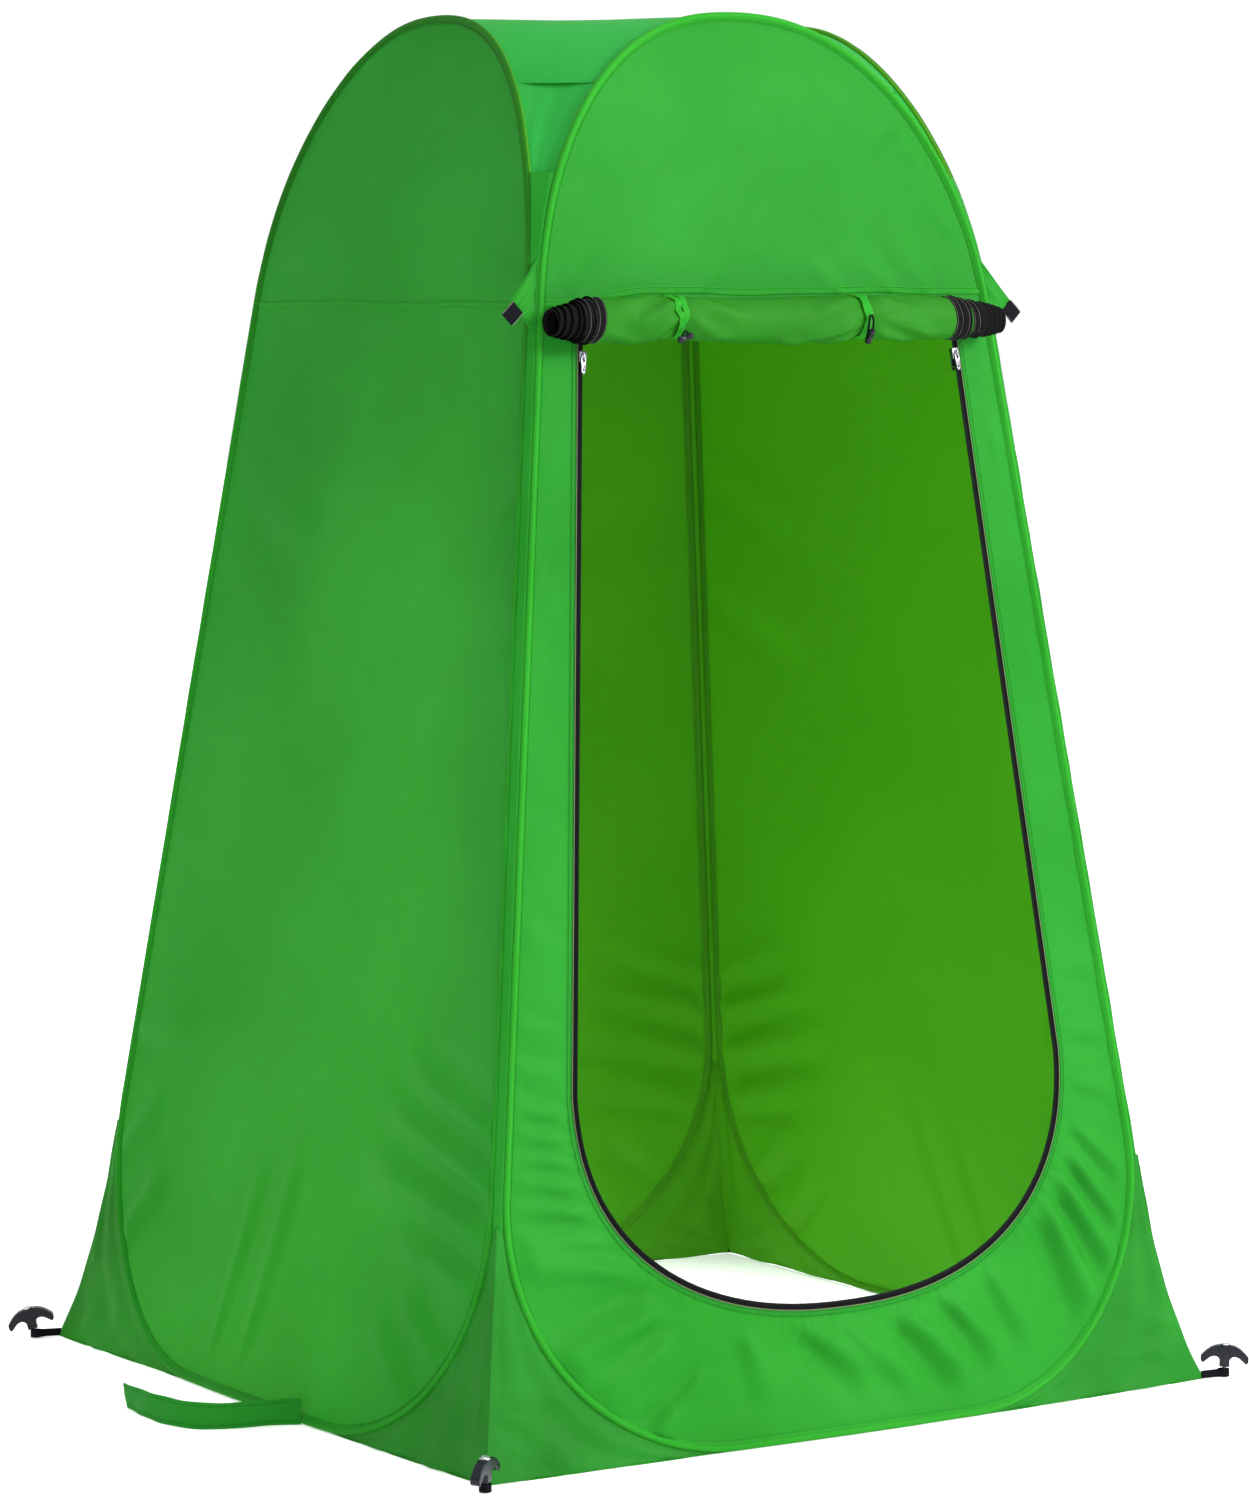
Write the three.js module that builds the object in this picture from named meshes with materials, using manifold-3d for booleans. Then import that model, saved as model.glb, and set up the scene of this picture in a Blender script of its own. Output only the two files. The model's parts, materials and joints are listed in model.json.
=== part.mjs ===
// Pop-up privacy shower tent: four spring-steel hoops sewn into the edges of four cloth walls,
// a cloth roof between the arches, ground skirts pegged at the corners, and a zipped door that is
// rolled up and tied above its opening. Millimetres, +Z up, the door faces -Y.
import * as THREE from 'three';
import { mergeVertices } from 'three/addons/utils/BufferGeometryUtils.js';
import Module from 'manifold-3d';

const wasm = await Module();
wasm.setup();

// ---- Driving sizes -------------------------------------------------------------------------

// Body of the tent
const totalHeight = 1753;
const archHeight = 365; // from the shoulder seam, between a wall and its arch, to the top
const footHalfWidth = 523; // from the middle of the tent to a wall, at the ground
const shoulderHalfWidth = 346.7; // the same at the shoulder seam
const archLean = 33; // how much further than the wall an arch leans in, at its top
const archPowers = { rise: 2.26, width: 2.28 }; // roundness of the arch outline
const hoopCornerRadius = 290;
const footBow = 28; // how far the middle of a hoop's foot is pushed outwards
const footBowHeight = 400;
const roofSeamDrop = 93; // from the top of the tent to the ends of the roof's side edges
const gussetFootDrop = 208; // from the top of the tent to the lower edge of a gusset

// Hoops, sleeves and cloth
const wireRadius = 1.75;
const ferruleOuterRadius = 3.2;
const ferruleLength = 30;
const wireEndGap = 1;
const sleeveRadius = 5.5;
const clothThickness = 1.2;
const sleeveMouth = 40; // the sleeve is open here, where the wire was threaded in
const cornerInset = 11; // from the tent's corner edge to a hoop's centre line
const fitGap = 0.5;
const skirtGap = 2.5; // wider, because the skirt's edge is made of straight facets round the hoop
const seamGap = 0.3;

// Door and zip
const doorTopHalf = 276;
const doorKneeHalf = 362; // half the opening where its straight sides end
const doorKneeHeight = 440;
const doorFootHeight = 160;
const doorRoundness = 2.3;
const zipTapeWidth = 7;
const zipTapeThickness = 1;
const zipChainWidth = 3;
const zipChainHeight = 2.6;
const zipTopGap = 3; // from the top of the zip to the shoulder seam
const sliderLength = 14;
const sliderDrop = 14; // from the underside of the rolled door to the middle of a parked slider
const sliderPlate = 1.4;
const sliderClear = 0.5;
const sliderPost = 3.5; // the post that joins a slider's two plates
const sliderLip = 3.5; // from the zip's chain to the open edge of the plates
const bridgeWidth = 2.4;
const bridgeTunnel = { length: 6, height: 2.4 };
const bridgeBar = 1.2;
const bridgeSink = 0.3; // how deep a bridge's feet are set in the plate
const pullLength = 20;
const pullWidth = 7;
const pullBar = 1.4;
const pullWindow = { side: 0.7, end: 5.5 }; // the window that the bridge passes through
const pullShoulder = 7.5; // the tab is full width down to here
const pullNose = { length: 3, wide: 0.8, narrow: 0.4 };
const pullEye = { radius: 1.3, fromEnd: 4.5 };

// Rolled door and its ties
const rollRadius = 30;
const rollHalfLength = 258;
const rollDrop = 18; // from the shoulder seam to the middle of the roll
const rollOff = 3; // clear space between the roll and the wall
const rollEndHalf = 344;
const rollEndRadii = [25, 22, 19, 16, 13];
const tieOffsets = { left: -168, right: 108 }; // from the middle of the roll
const tieWidth = 18;
const tieAngles = [-130, 140]; // where a tie leaves the wall, in degrees round the roll from its back
const toggleLength = 20;
const toggleRadius = 4.2;
const toggleEnd = { radius: 2.9, length: 2 };
const toggleDrop = 35; // degrees below the front of the roll
const toggleTilts = { left: 65, right: 0 };

// Guy tabs at the two front shoulders, with heights from the shoulder seam
const guyTab = { top: 60, bottom: -38, tipHeight: -12, tipWidth: 24, reach: 40 };
const guyTabClear = 1; // from a tab to the corner edge of the tent

// Corner stakes: bearing (degrees, 0 is +X), reach from the tent's corner, lean and hook turn
const stakes = {
  front_left: { bearing: 236, reach: 52, lean: 8, turn: 35 },
  back_left: { bearing: 165, reach: 62, lean: 16, turn: 150 },
  back_right: { bearing: 38, reach: 62, lean: 10, turn: 20 },
  front_right: { bearing: 354, reach: 72, lean: 3, turn: -38 },
};
const stakeLoopLength = 30;
const stakeLoopRadius = 7;
const webbingThickness = 1.4;
const webbingWidth = 10;
const webbingTuck = 2.5; // from the skirt to the end of the loop's tail
const nailFoot = 1; // the nail is modelled down to just above the ground
const nailRadius = 2.4;
const nailHead = { radius: 6.5, rim: 1.2, domeRadius: 3.9, height: 2.8 };
const hookSpan = 62;
const hookFoot = 14;
const hookTop = 42;
const hookThickness = 12;
const hookNeck = 6.5; // half the width of the hook's neck
const hookElbow = 0.6; // where an arm bends, as a share of its reach
const hookRound = 3;
// Heights of the arms' outline above the hook's foot
const hookArm = { root: 9, armpit: 16, under: 12, end: 13, tipUnder: 4, tipSide: 7 };
const skirtFlare = { rise: 2.2, spread: 1.3 }; // how quickly a skirt runs out to its stake

// Storage strap, standing on its edge on the ground beside the left wall
const strapWidth = 34;
// Points of its route: distance off the wall's foot, and place along the wall
const strapRoute = [[15, -118], [61, -108], [104, -94], [132, -62], [143, -5], [139, 75]];

// Fineness of the facets
const cornerSteps = 7;
const archSteps = 10;
const doorSteps = 9;
const roofSteps = 5;
const roofRings = [0, 0.5, 0.85, 1]; // shares of the way from the middle of the roof to its edge
const strapSteps = 18;

// ---- Finishes --------------------------------------------------------------------------------

const finish = (color, roughness, metalness = 0) =>
  new THREE.MeshStandardMaterial({ color, roughness, metalness });
const greenCloth = finish(0x3fae45, 0.75);
const shadedCloth = finish(0x1f8c22, 0.75);
const roofCloth = finish(0x3fb04c, 0.7);
const blackTape = finish(0x15161a, 0.8);
const blackPlastic = finish(0x0e1016, 0.4);
const steel = finish(0xb8bcc2, 0.35, 1);

// ---- The shape of one wall -------------------------------------------------------------------
// Wall coordinates: x across, h height, d outwards. The front wall is the pattern for all four.

const shoulderHeight = totalHeight - archHeight;
const roofSeamHeight = totalHeight - roofSeamDrop;
const gussetFootHeight = totalHeight - gussetFootDrop;
const wallTaper = (footHalfWidth - shoulderHalfWidth) / shoulderHeight; // a wall's lean per mm of height
const archRise = archHeight - sleeveRadius;
const cornerCentreHeight = sleeveRadius + hoopCornerRadius;
const slant = Math.hypot(1, wallTaper);
const hoopFootHalf = footHalfWidth - cornerInset;
const cornerCentreX = hoopFootHalf - wallTaper * cornerCentreHeight - hoopCornerRadius * slant;

// Distance from the middle of the tent to the wall at height h
function wallOffset(h) {
  const straight = footHalfWidth - wallTaper * h;
  const share = Math.max(0, (h - shoulderHeight) / archRise);
  return straight - archLean * share * share;
}

function bow(x, h) {
  const across = 1 - (x / wallOffset(h)) ** 2;
  const low = Math.max(0, 1 - h / footBowHeight);
  return footBow * Math.max(0, across) * low * low;
}

function onWall(x, h, d = 0) {
  return new THREE.Vector3(x, -(wallOffset(h) + bow(x, h) + d), h);
}

// Directions in the wall at a point: across it, up it and out of it
function wallFrame(x, h) {
  const step = 0.5;
  const across = onWall(x + step, h).sub(onWall(x - step, h)).normalize();
  const up = onWall(x, h + step).sub(onWall(x, h - step)).normalize();
  const out = across.clone().cross(up).normalize();
  up.copy(out).cross(across);
  return { across, up, out };
}

function lerp(a, b, share) {
  return a + (b - a) * share;
}

// Right half of the hoop's outline, moved inwards by inset: foot, round corner, side and arch
function hoopHalf(inset) {
  const points = [];
  const radius = hoopCornerRadius - inset;
  const sideAngle = Math.atan(wallTaper);
  for (let i = 0; i <= cornerSteps; i += 1) {
    const angle = lerp(-Math.PI / 2, sideAngle, i / cornerSteps);
    points.push([cornerCentreX + radius * Math.cos(angle), cornerCentreHeight + radius * Math.sin(angle)]);
  }
  for (let i = 0; i <= archSteps; i += 1) {
    const angle = (i / archSteps) * (Math.PI / 2);
    const h = shoulderHeight + (archRise - inset) * Math.sin(angle) ** (2 / archPowers.rise);
    const side = hoopFootHalf - wallTaper * h - inset * slant;
    const x = side * Math.max(0, Math.cos(angle)) ** (2 / archPowers.width);
    points.push([i === archSteps ? 0 : x, h]);
  }
  return points;
}

const mirrored = (points) => points.map(([x, h]) => [-x, h]).reverse();

// The foot of the outline, from x = from to the round corner; it needs points because it is bowed
function hoopFoot(inset, from) {
  const share = (cornerCentreX - from) / 3;
  return [0, 1, 2].map((i) => [from + i * share, sleeveRadius + inset]);
}

// The whole loop, open by mouth in the middle of its foot
function hoopLoop(mouth) {
  const right = [...hoopFoot(0, mouth / 2), ...hoopHalf(0)];
  return [...right, ...mirrored(right).slice(1)];
}

// Right half of the door opening, moved outwards by out: foot, round bottom and straight side
function doorHalf(out, top) {
  const points = [];
  const kneeX = doorKneeHalf + out;
  for (let i = 0; i <= doorSteps; i += 1) {
    const angle = (i / doorSteps) * (Math.PI / 2);
    const x = kneeX * Math.sin(angle) ** (2 / doorRoundness);
    const drop = Math.max(0, Math.cos(angle)) ** (2 / doorRoundness);
    points.push([x, doorKneeHeight - (doorKneeHeight - doorFootHeight + out) * drop]);
  }
  const lean = (doorKneeHalf - doorTopHalf) / (shoulderHeight - doorKneeHeight);
  points.push([kneeX - lean * (top - doorKneeHeight), top]);
  return points;
}

// ---- Making closed bodies --------------------------------------------------------------------

function tidy(geometry) {
  geometry.deleteAttribute('normal');
  geometry.deleteAttribute('uv');
  return mergeVertices(geometry, 1e-3);
}

function signedVolume(geometry) {
  const at = geometry.attributes.position;
  const index = geometry.index;
  const corner = [new THREE.Vector3(), new THREE.Vector3(), new THREE.Vector3()];
  let volume = 0;
  for (let i = 0; i < index.count; i += 3) {
    corner.forEach((point, k) => point.fromBufferAttribute(at, index.getX(i + k)));
    volume += corner[0].dot(corner[1].clone().cross(corner[2])) / 6;
  }
  return volume;
}

// Moves every vertex by the map, and turns the faces round if the map mirrored them
function mapped(source, map) {
  const geometry = tidy(source);
  const at = geometry.attributes.position;
  const point = new THREE.Vector3();
  for (let i = 0; i < at.count; i += 1) {
    point.fromBufferAttribute(at, i);
    const moved = map(point);
    at.setXYZ(i, moved.x, moved.y, moved.z);
  }
  if (signedVolume(geometry) < 0) {
    const order = geometry.index.array;
    for (let i = 0; i < order.length; i += 3) {
      [order[i + 1], order[i + 2]] = [order[i + 2], order[i + 1]];
    }
  }
  geometry.computeVertexNormals();
  return geometry;
}

function toManifold(source) {
  const geometry = tidy(source);
  const vertProperties = new Float32Array(geometry.attributes.position.array);
  const triVerts = new Uint32Array(geometry.index.array);
  return new wasm.Manifold(new wasm.Mesh({ numProp: 3, vertProperties, triVerts }));
}

function fromManifold(solid) {
  const { vertProperties, triVerts } = solid.getMesh();
  const geometry = new THREE.BufferGeometry();
  geometry.setAttribute('position', new THREE.BufferAttribute(new Float32Array(vertProperties), 3));
  geometry.setIndex(new THREE.BufferAttribute(new Uint32Array(triVerts), 1));
  geometry.computeVertexNormals();
  return geometry;
}

const shapeOf = (points) => new THREE.Shape(points.map(([x, y]) => new THREE.Vector2(x, y)));

function plate(points, thickness) {
  return new THREE.ExtrudeGeometry(shapeOf(points), { depth: thickness, bevelEnabled: false });
}

// A flat piece of cloth cut to an outline in wall coordinates
function wallCloth(points) {
  const flat = plate(points, clothThickness);
  return mapped(flat, (p) => onWall(p.x, p.y, p.z - clothThickness / 2));
}

function disc(radius, sides) {
  const shape = new THREE.Shape();
  shape.absarc(0, 0, radius, 0, Math.PI * 2);
  // an arc is cut into two parts for each division
  return new THREE.Shape(shape.getPoints(sides / 2).slice(0, sides));
}

function ringSection(outer, inner, sides) {
  const shape = disc(outer, sides);
  shape.holes.push(new THREE.Path(disc(inner, sides).getPoints()));
  return shape;
}

function rectangle(x0, y0, x1, y1) {
  return shapeOf([[x0, y0], [x1, y0], [x1, y1], [x0, y1]]);
}

// Carries a section along points; frames gives each point's two section directions
function sweep(section, points, frames) {
  const steps = points.length - 1;
  const bar = new THREE.ExtrudeGeometry(section, { depth: steps, steps, bevelEnabled: false });
  return mapped(bar, (p) => {
    const i = Math.round(p.z);
    const { side, out } = frames[i];
    return points[i].clone().addScaledVector(side, p.x).addScaledVector(out, p.y);
  });
}

// Carries a section along an outline in the wall; x of the section points out of the outline
function sweepOnWall(section, outline) {
  const last = outline.length - 1;
  const direction = (i) => {
    const [a, b] = [outline[i], outline[i + 1]];
    return new THREE.Vector2(b[0] - a[0], b[1] - a[1]).normalize();
  };
  const frames = outline.map(([x, h], i) => {
    const before = direction(Math.max(0, i - 1));
    const after = direction(Math.min(last - 1, i));
    const along = before.clone().add(after).normalize();
    const mitre = 1 / along.dot(after);
    const { across, up, out } = wallFrame(x, h);
    const side = across.clone().multiplyScalar(along.y).addScaledVector(up, -along.x);
    return { side: side.multiplyScalar(mitre), out };
  });
  return sweep(section, outline.map(([x, h]) => onWall(x, h)), frames);
}

// ---- Building the tent -------------------------------------------------------------------------

const tent = new THREE.Group();

function addMesh(parent, name, geometry, material) {
  const mesh = new THREE.Mesh(geometry, material);
  mesh.name = name;
  parent.add(mesh);
  return mesh;
}

// Wall cloth inside the hoop: lower wall up to the shoulder seam, and the arch above it
const clothInset = sleeveRadius + fitGap;

function lowerOutline() {
  const side = hoopHalf(clothInset).slice(0, cornerSteps + 2);
  side[side.length - 1][1] = shoulderHeight - seamGap;
  return [...hoopFoot(clothInset, 0), ...side];
}

function plainLowerWall() {
  const right = lowerOutline();
  return wallCloth([...right, ...mirrored(right).slice(0, -1)]);
}

function doorSurround() {
  const right = lowerOutline();
  const edge = doorHalf(zipChainWidth / 2 + seamGap + zipTapeWidth + fitGap, shoulderHeight - seamGap);
  const inner = [...mirrored(edge), ...edge.slice(1)];
  const outer = [...mirrored(right), ...right.slice(1)];
  return wallCloth([...outer, ...inner.reverse()]);
}

function archWall() {
  const right = hoopHalf(clothInset).slice(cornerSteps + 1);
  right[0][1] = shoulderHeight + seamGap;
  return wallCloth([...right, ...mirrored(right).slice(1)]);
}

function addWall(name, turn, hasDoor) {
  const wall = new THREE.Group();
  wall.rotation.z = turn;
  const shade = hasDoor ? greenCloth : shadedCloth;
  addMesh(wall, `hoop_${name}`, sweepOnWall(disc(wireRadius, 6), hoopLoop(wireEndGap)), steel);
  const crimp = ringSection(ferruleOuterRadius, wireRadius + fitGap, 8);
  const crimpEnds = [-1, 1].map((side) => [(side * ferruleLength) / 2, sleeveRadius]);
  addMesh(wall, `hoop_ferrule_${name}`, sweepOnWall(crimp, crimpEnds), steel);
  const tube = ringSection(sleeveRadius, sleeveRadius - clothThickness, 6);
  addMesh(wall, `hoop_sleeve_${name}`, sweepOnWall(tube, hoopLoop(sleeveMouth)), shade);
  addMesh(wall, `lower_wall_${name}`, hasDoor ? doorSurround() : plainLowerWall(), shade);
  addMesh(wall, `arch_wall_${name}`, archWall(), shade);
  tent.add(wall);
}

// Corner skirt: two faces that fill the space between the rounded hoop corners and the ground,
// meeting at a ridge that is pulled out to the stake
function cornerSkirt(pull) {
  const reach = hoopCornerRadius + sleeveRadius + skirtGap;
  const lastAngle = Math.asin(cornerCentreHeight / reach);
  const box = new THREE.BoxGeometry(1, 1, 1, 6, 8, 1);
  return mapped(box, (p) => {
    const angle = lerp(lastAngle, 0, p.y + 0.5);
    const h = Math.max(0, cornerCentreHeight - reach * Math.sin(angle));
    const arcX = cornerCentreX + reach * Math.cos(angle);
    const ridge = wallOffset(h);
    const share = 1 - Math.abs(2 * p.x);
    const across = lerp(arcX, ridge, share);
    const out = wallOffset(h) + bow(across, h) + p.z * clothThickness;
    const atRidge = ridge + p.z * clothThickness;
    const isRidge = Math.abs(p.x) < 1e-6;
    const point = p.x > 0
      ? new THREE.Vector3(-across, -out, h)
      : new THREE.Vector3(-out, -across, h);
    if (isRidge) {
      point.set(-atRidge, -atRidge, h);
    }
    const flare = (1 - h / cornerCentreHeight) ** skirtFlare.rise * share ** skirtFlare.spread;
    return point.addScaledVector(pull, flare);
  });
}

// Roof: level lines run straight from one arch to the next, so its height depends on |x| + |y|
const archHalfWidth = (h) => {
  const share = Math.min(1, Math.max(0, (h - shoulderHeight) / archRise));
  return (hoopFootHalf - wallTaper * h) * (1 - share ** archPowers.rise) ** (1 / archPowers.width);
};
const archTop = shoulderHeight + archRise;

function roofHeight(reach) {
  let low = shoulderHeight;
  let high = archTop;
  for (let i = 0; i < 40; i += 1) {
    const middle = (low + high) / 2;
    if (archHalfWidth(middle) + wallOffset(middle) > reach) {
      low = middle;
    } else {
      high = middle;
    }
  }
  return high;
}

const edgeClear = sleeveRadius + fitGap;

// One quarter of the roof's edge in plan: along the front arch, then across the corner seam
function roofQuarter() {
  const points = [];
  for (let i = 0; i < roofSteps; i += 1) {
    const h = archTop - (archTop - roofSeamHeight) * (i / roofSteps) ** 2;
    points.push([archHalfWidth(h), wallOffset(h) - edgeClear]);
  }
  return points;
}

function roofPanel() {
  const seamHalf = archHalfWidth(roofSeamHeight);
  const seamOff = wallOffset(roofSeamHeight) - edgeClear;
  const octant = [...roofQuarter(), [seamHalf, seamOff]];
  const across = octant.map(([x, y]) => [y, x]).reverse();
  const quadrant = [...octant, ...across.slice(0, -1)];
  const edge = [];
  for (let i = 0; i < 4; i += 1) {
    const turn = (-i * Math.PI) / 2;
    quadrant.forEach(([x, y]) => {
      const point = new THREE.Vector2(x, y).rotateAround(new THREE.Vector2(), turn);
      edge.push(point);
    });
  }
  const count = edge.length;
  const half = clothThickness / 2;
  const under = roofRings.map((radius) => new THREE.Vector2(radius, -half));
  const over = roofRings.map((radius) => new THREE.Vector2(radius, half)).reverse();
  const lathe = new THREE.LatheGeometry([...under, ...over], count);
  return mapped(lathe, (p) => {
    const radius = Math.hypot(p.x, p.z);
    const angle = Math.atan2(p.x, p.z);
    const index = (Math.round((angle / (2 * Math.PI)) * count) + count) % count;
    const plan = edge[index].clone().multiplyScalar(radius);
    const reach = Math.abs(plan.x) + Math.abs(plan.y) + edgeClear * radius;
    return new THREE.Vector3(plan.x, plan.y, roofHeight(reach) + p.y);
  });
}

function roofGusset() {
  const box = new THREE.BoxGeometry(1, 1, 1, 1, 6, 1);
  return mapped(box, (p) => {
    const h = lerp(gussetFootHeight, roofSeamHeight - seamGap * 2, p.y + 0.5);
    const near = archHalfWidth(h);
    const far = wallOffset(h);
    const chord = Math.SQRT2 * (far - near);
    const trim = edgeClear / chord;
    const share = lerp(trim, 1 - trim, p.x + 0.5);
    const out = p.z * clothThickness * Math.SQRT1_2;
    return new THREE.Vector3(-lerp(near, far, share) - out, -lerp(far, near, share) - out, h);
  });
}

// ---- Zip, sliders and pulls --------------------------------------------------------------------

const doorTop = shoulderHeight - zipTopGap;

function doorLine() {
  const right = doorHalf(0, doorTop);
  return [...mirrored(right), ...right.slice(1)];
}

function addZip() {
  const tapeFrom = zipChainWidth / 2 + seamGap;
  const halfTape = zipTapeThickness / 2;
  const tape = rectangle(tapeFrom, -halfTape, tapeFrom + zipTapeWidth, halfTape);
  addMesh(tent, 'zip_tape', sweepOnWall(tape, doorLine()), blackTape);
  const [halfChain, halfHeight] = [zipChainWidth / 2, zipChainHeight / 2];
  const chain = rectangle(-halfChain, -halfHeight, halfChain, halfHeight);
  addMesh(tent, 'zip_chain', sweepOnWall(chain, doorLine()), blackTape);
}

const plateInner = zipChainHeight / 2 + sliderClear;
const plateOuter = plateInner + sliderPlate;
const bridgeAxis = plateOuter + bridgeTunnel.height / 2;

// Slider in its own frame: X away from the opening, Y down the zip, Z out of the tent
function sliderBody() {
  const postTo = -zipChainWidth / 2 - sliderClear;
  const postFrom = postTo - sliderPost;
  const plateTo = zipChainWidth / 2 + sliderLip;
  const profile = [
    [postFrom, -plateOuter], [plateTo, -plateOuter], [plateTo, -plateInner], [postTo, -plateInner],
    [postTo, plateInner], [plateTo, plateInner], [plateTo, plateOuter], [postFrom, plateOuter],
  ];
  const block = mapped(plate(profile, sliderLength), (p) =>
    new THREE.Vector3(p.x, p.z - sliderLength / 2, p.y));
  let body = toManifold(block);
  for (const side of [1, -1]) {
    const halfTunnel = bridgeTunnel.length / 2;
    const foot = plateOuter - bridgeSink;
    const roof = plateOuter + bridgeTunnel.height;
    const outline = [
      [-halfTunnel - bridgeBar, foot], [-halfTunnel, foot], [-halfTunnel, roof], [halfTunnel, roof],
      [halfTunnel, foot], [halfTunnel + bridgeBar, foot], [halfTunnel + bridgeBar, roof],
      [halfTunnel, roof + bridgeBar], [-halfTunnel, roof + bridgeBar], [-halfTunnel - bridgeBar, roof],
    ];
    const staple = mapped(plate(outline, bridgeWidth), (p) =>
      new THREE.Vector3(p.z - bridgeWidth / 2, p.x, side * p.y));
    body = body.add(toManifold(staple));
  }
  return fromManifold(body);
}

// Pull tab in its own frame: hinge axis along X through the origin, the tab hangs along +Y
function pullTab() {
  const half = pullWidth / 2;
  const bar = pullBar / 2;
  const [wide, narrow] = [half * pullNose.wide, half * pullNose.narrow];
  const nose = pullLength - pullNose.length;
  const shape = shapeOf([
    [-half, -bar], [half, -bar], [half, pullShoulder], [wide, nose],
    [narrow, pullLength], [-narrow, pullLength], [-wide, nose], [-half, pullShoulder],
  ]);
  const window = bridgeWidth / 2 + pullWindow.side;
  shape.holes.push(new THREE.Path([
    new THREE.Vector2(-window, bar), new THREE.Vector2(-window, pullWindow.end),
    new THREE.Vector2(window, pullWindow.end), new THREE.Vector2(window, bar),
  ]));
  const eyeCentre = new THREE.Vector2(0, pullLength - pullEye.fromEnd);
  const eye = disc(pullEye.radius, 8).getPoints().map((p) => p.clone().add(eyeCentre));
  shape.holes.push(new THREE.Path(eye));
  const flat = new THREE.ExtrudeGeometry(shape, { depth: pullBar, bevelEnabled: false });
  return mapped(flat, (p) => new THREE.Vector3(p.x, p.y, p.z - bar));
}

function addSlider(name, side) {
  const sliderHeight = shoulderHeight - rollDrop - rollRadius - sliderDrop;
  const line = doorHalf(0, doorTop);
  const [kneeX, kneeH] = line[line.length - 2];
  const [topX, topH] = line[line.length - 1];
  const share = (topH - sliderHeight) / (topH - kneeH);
  const x = lerp(topX, kneeX, share);
  const down = onWall(side * kneeX, kneeH).sub(onWall(side * topX, topH)).normalize();
  const { out } = wallFrame(side * x, sliderHeight);
  const across = down.clone().cross(out).normalize();
  const holder = new THREE.Group();
  holder.quaternion.setFromRotationMatrix(new THREE.Matrix4().makeBasis(across, down, out));
  holder.position.copy(onWall(side * x, sliderHeight));
  tent.add(holder);
  const body = addMesh(holder, `zip_slider_${name}`, sliderBody(), steel);
  body.rotation.y = side < 0 ? 0 : Math.PI; // the open side of the slider faces the wall cloth
  const hang = (bridgeTunnel.length - pullBar) / 2 - sliderClear;
  const outer = addMesh(holder, `zip_pull_outer_${name}`, pullTab(), steel);
  outer.position.set(0, hang, bridgeAxis);
  const inner = addMesh(holder, `zip_pull_inner_${name}`, pullTab(), steel);
  inner.position.set(0, hang, -bridgeAxis);
  inner.rotation.x = -Math.atan(wallTaper);
}

// ---- Rolled door, its ties and toggles -----------------------------------------------------------

const rollDepth = rollRadius + rollOff;
const rollHeight = shoulderHeight - rollDrop;
const rollCentre = new THREE.Vector3(0, -(wallOffset(rollHeight) + rollDepth), rollHeight);

function addRoll() {
  const roll = new THREE.Group();
  roll.position.copy(rollCentre);
  tent.add(roll);
  const barrel = new THREE.CylinderGeometry(rollRadius, rollRadius, rollHalfLength * 2, 20);
  const door = addMesh(roll, 'door_roll', mapped(barrel, (p) => p), greenCloth);
  door.rotation.z = Math.PI / 2;

  const stepLength = (rollEndHalf - rollHalfLength - fitGap) / rollEndRadii.length;
  const from = rollHalfLength + fitGap;
  const profile = [new THREE.Vector2(0, from)];
  rollEndRadii.forEach((radius, i) => {
    profile.push(new THREE.Vector2(radius, from + i * stepLength));
    profile.push(new THREE.Vector2(radius, from + (i + 1) * stepLength));
  });
  profile.push(new THREE.Vector2(0, rollEndHalf));
  for (const [name, side] of [['left', 1], ['right', -1]]) {
    const end = mapped(new THREE.LatheGeometry(profile, 12), (p) => p);
    const mesh = addMesh(roll, `rolled_zip_end_${name}`, end, blackTape);
    mesh.rotation.z = (side * Math.PI) / 2;
  }

  addTie(roll, 'left');
  addTie(roll, 'right');
}

function toggleBarrel() {
  const half = toggleLength / 2;
  const profile = [
    [0, -half], [toggleEnd.radius, -half], [toggleRadius, toggleEnd.length - half],
    [toggleRadius, half - toggleEnd.length], [toggleEnd.radius, half], [0, half],
  ].map(([x, y]) => new THREE.Vector2(x, y));
  return mapped(new THREE.LatheGeometry(profile, 10), (p) => p);
}

function addTie(roll, name) {
  const inner = rollRadius + fitGap;
  const outer = inner + clothThickness;
  const [start, stop] = tieAngles.map(THREE.MathUtils.degToRad);
  const band = new THREE.Shape();
  band.absarc(0, 0, outer, start, stop, false);
  band.absarc(0, 0, inner, stop, start, true);
  const options = { depth: tieWidth, bevelEnabled: false, curveSegments: 10 };
  const strap = new THREE.ExtrudeGeometry(band, options);
  const placed = mapped(strap, (p) => new THREE.Vector3(p.z - tieWidth / 2, -p.x, p.y));
  addMesh(roll, `door_tie_${name}`, placed, greenCloth).position.x = tieOffsets[name];

  const drop = THREE.MathUtils.degToRad(toggleDrop);
  const reach = outer + fitGap * 2 + toggleRadius;
  const holder = new THREE.Group();
  holder.position.set(tieOffsets[name], -reach * Math.cos(drop), -reach * Math.sin(drop));
  holder.rotation.x = Math.PI / 2 + drop;
  roll.add(holder);
  const toggle = addMesh(holder, `tie_toggle_${name}`, toggleBarrel(), blackPlastic);
  toggle.rotation.z = THREE.MathUtils.degToRad(toggleTilts[name]);
}

// ---- Guy tabs, stakes and strap --------------------------------------------------------------------

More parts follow.
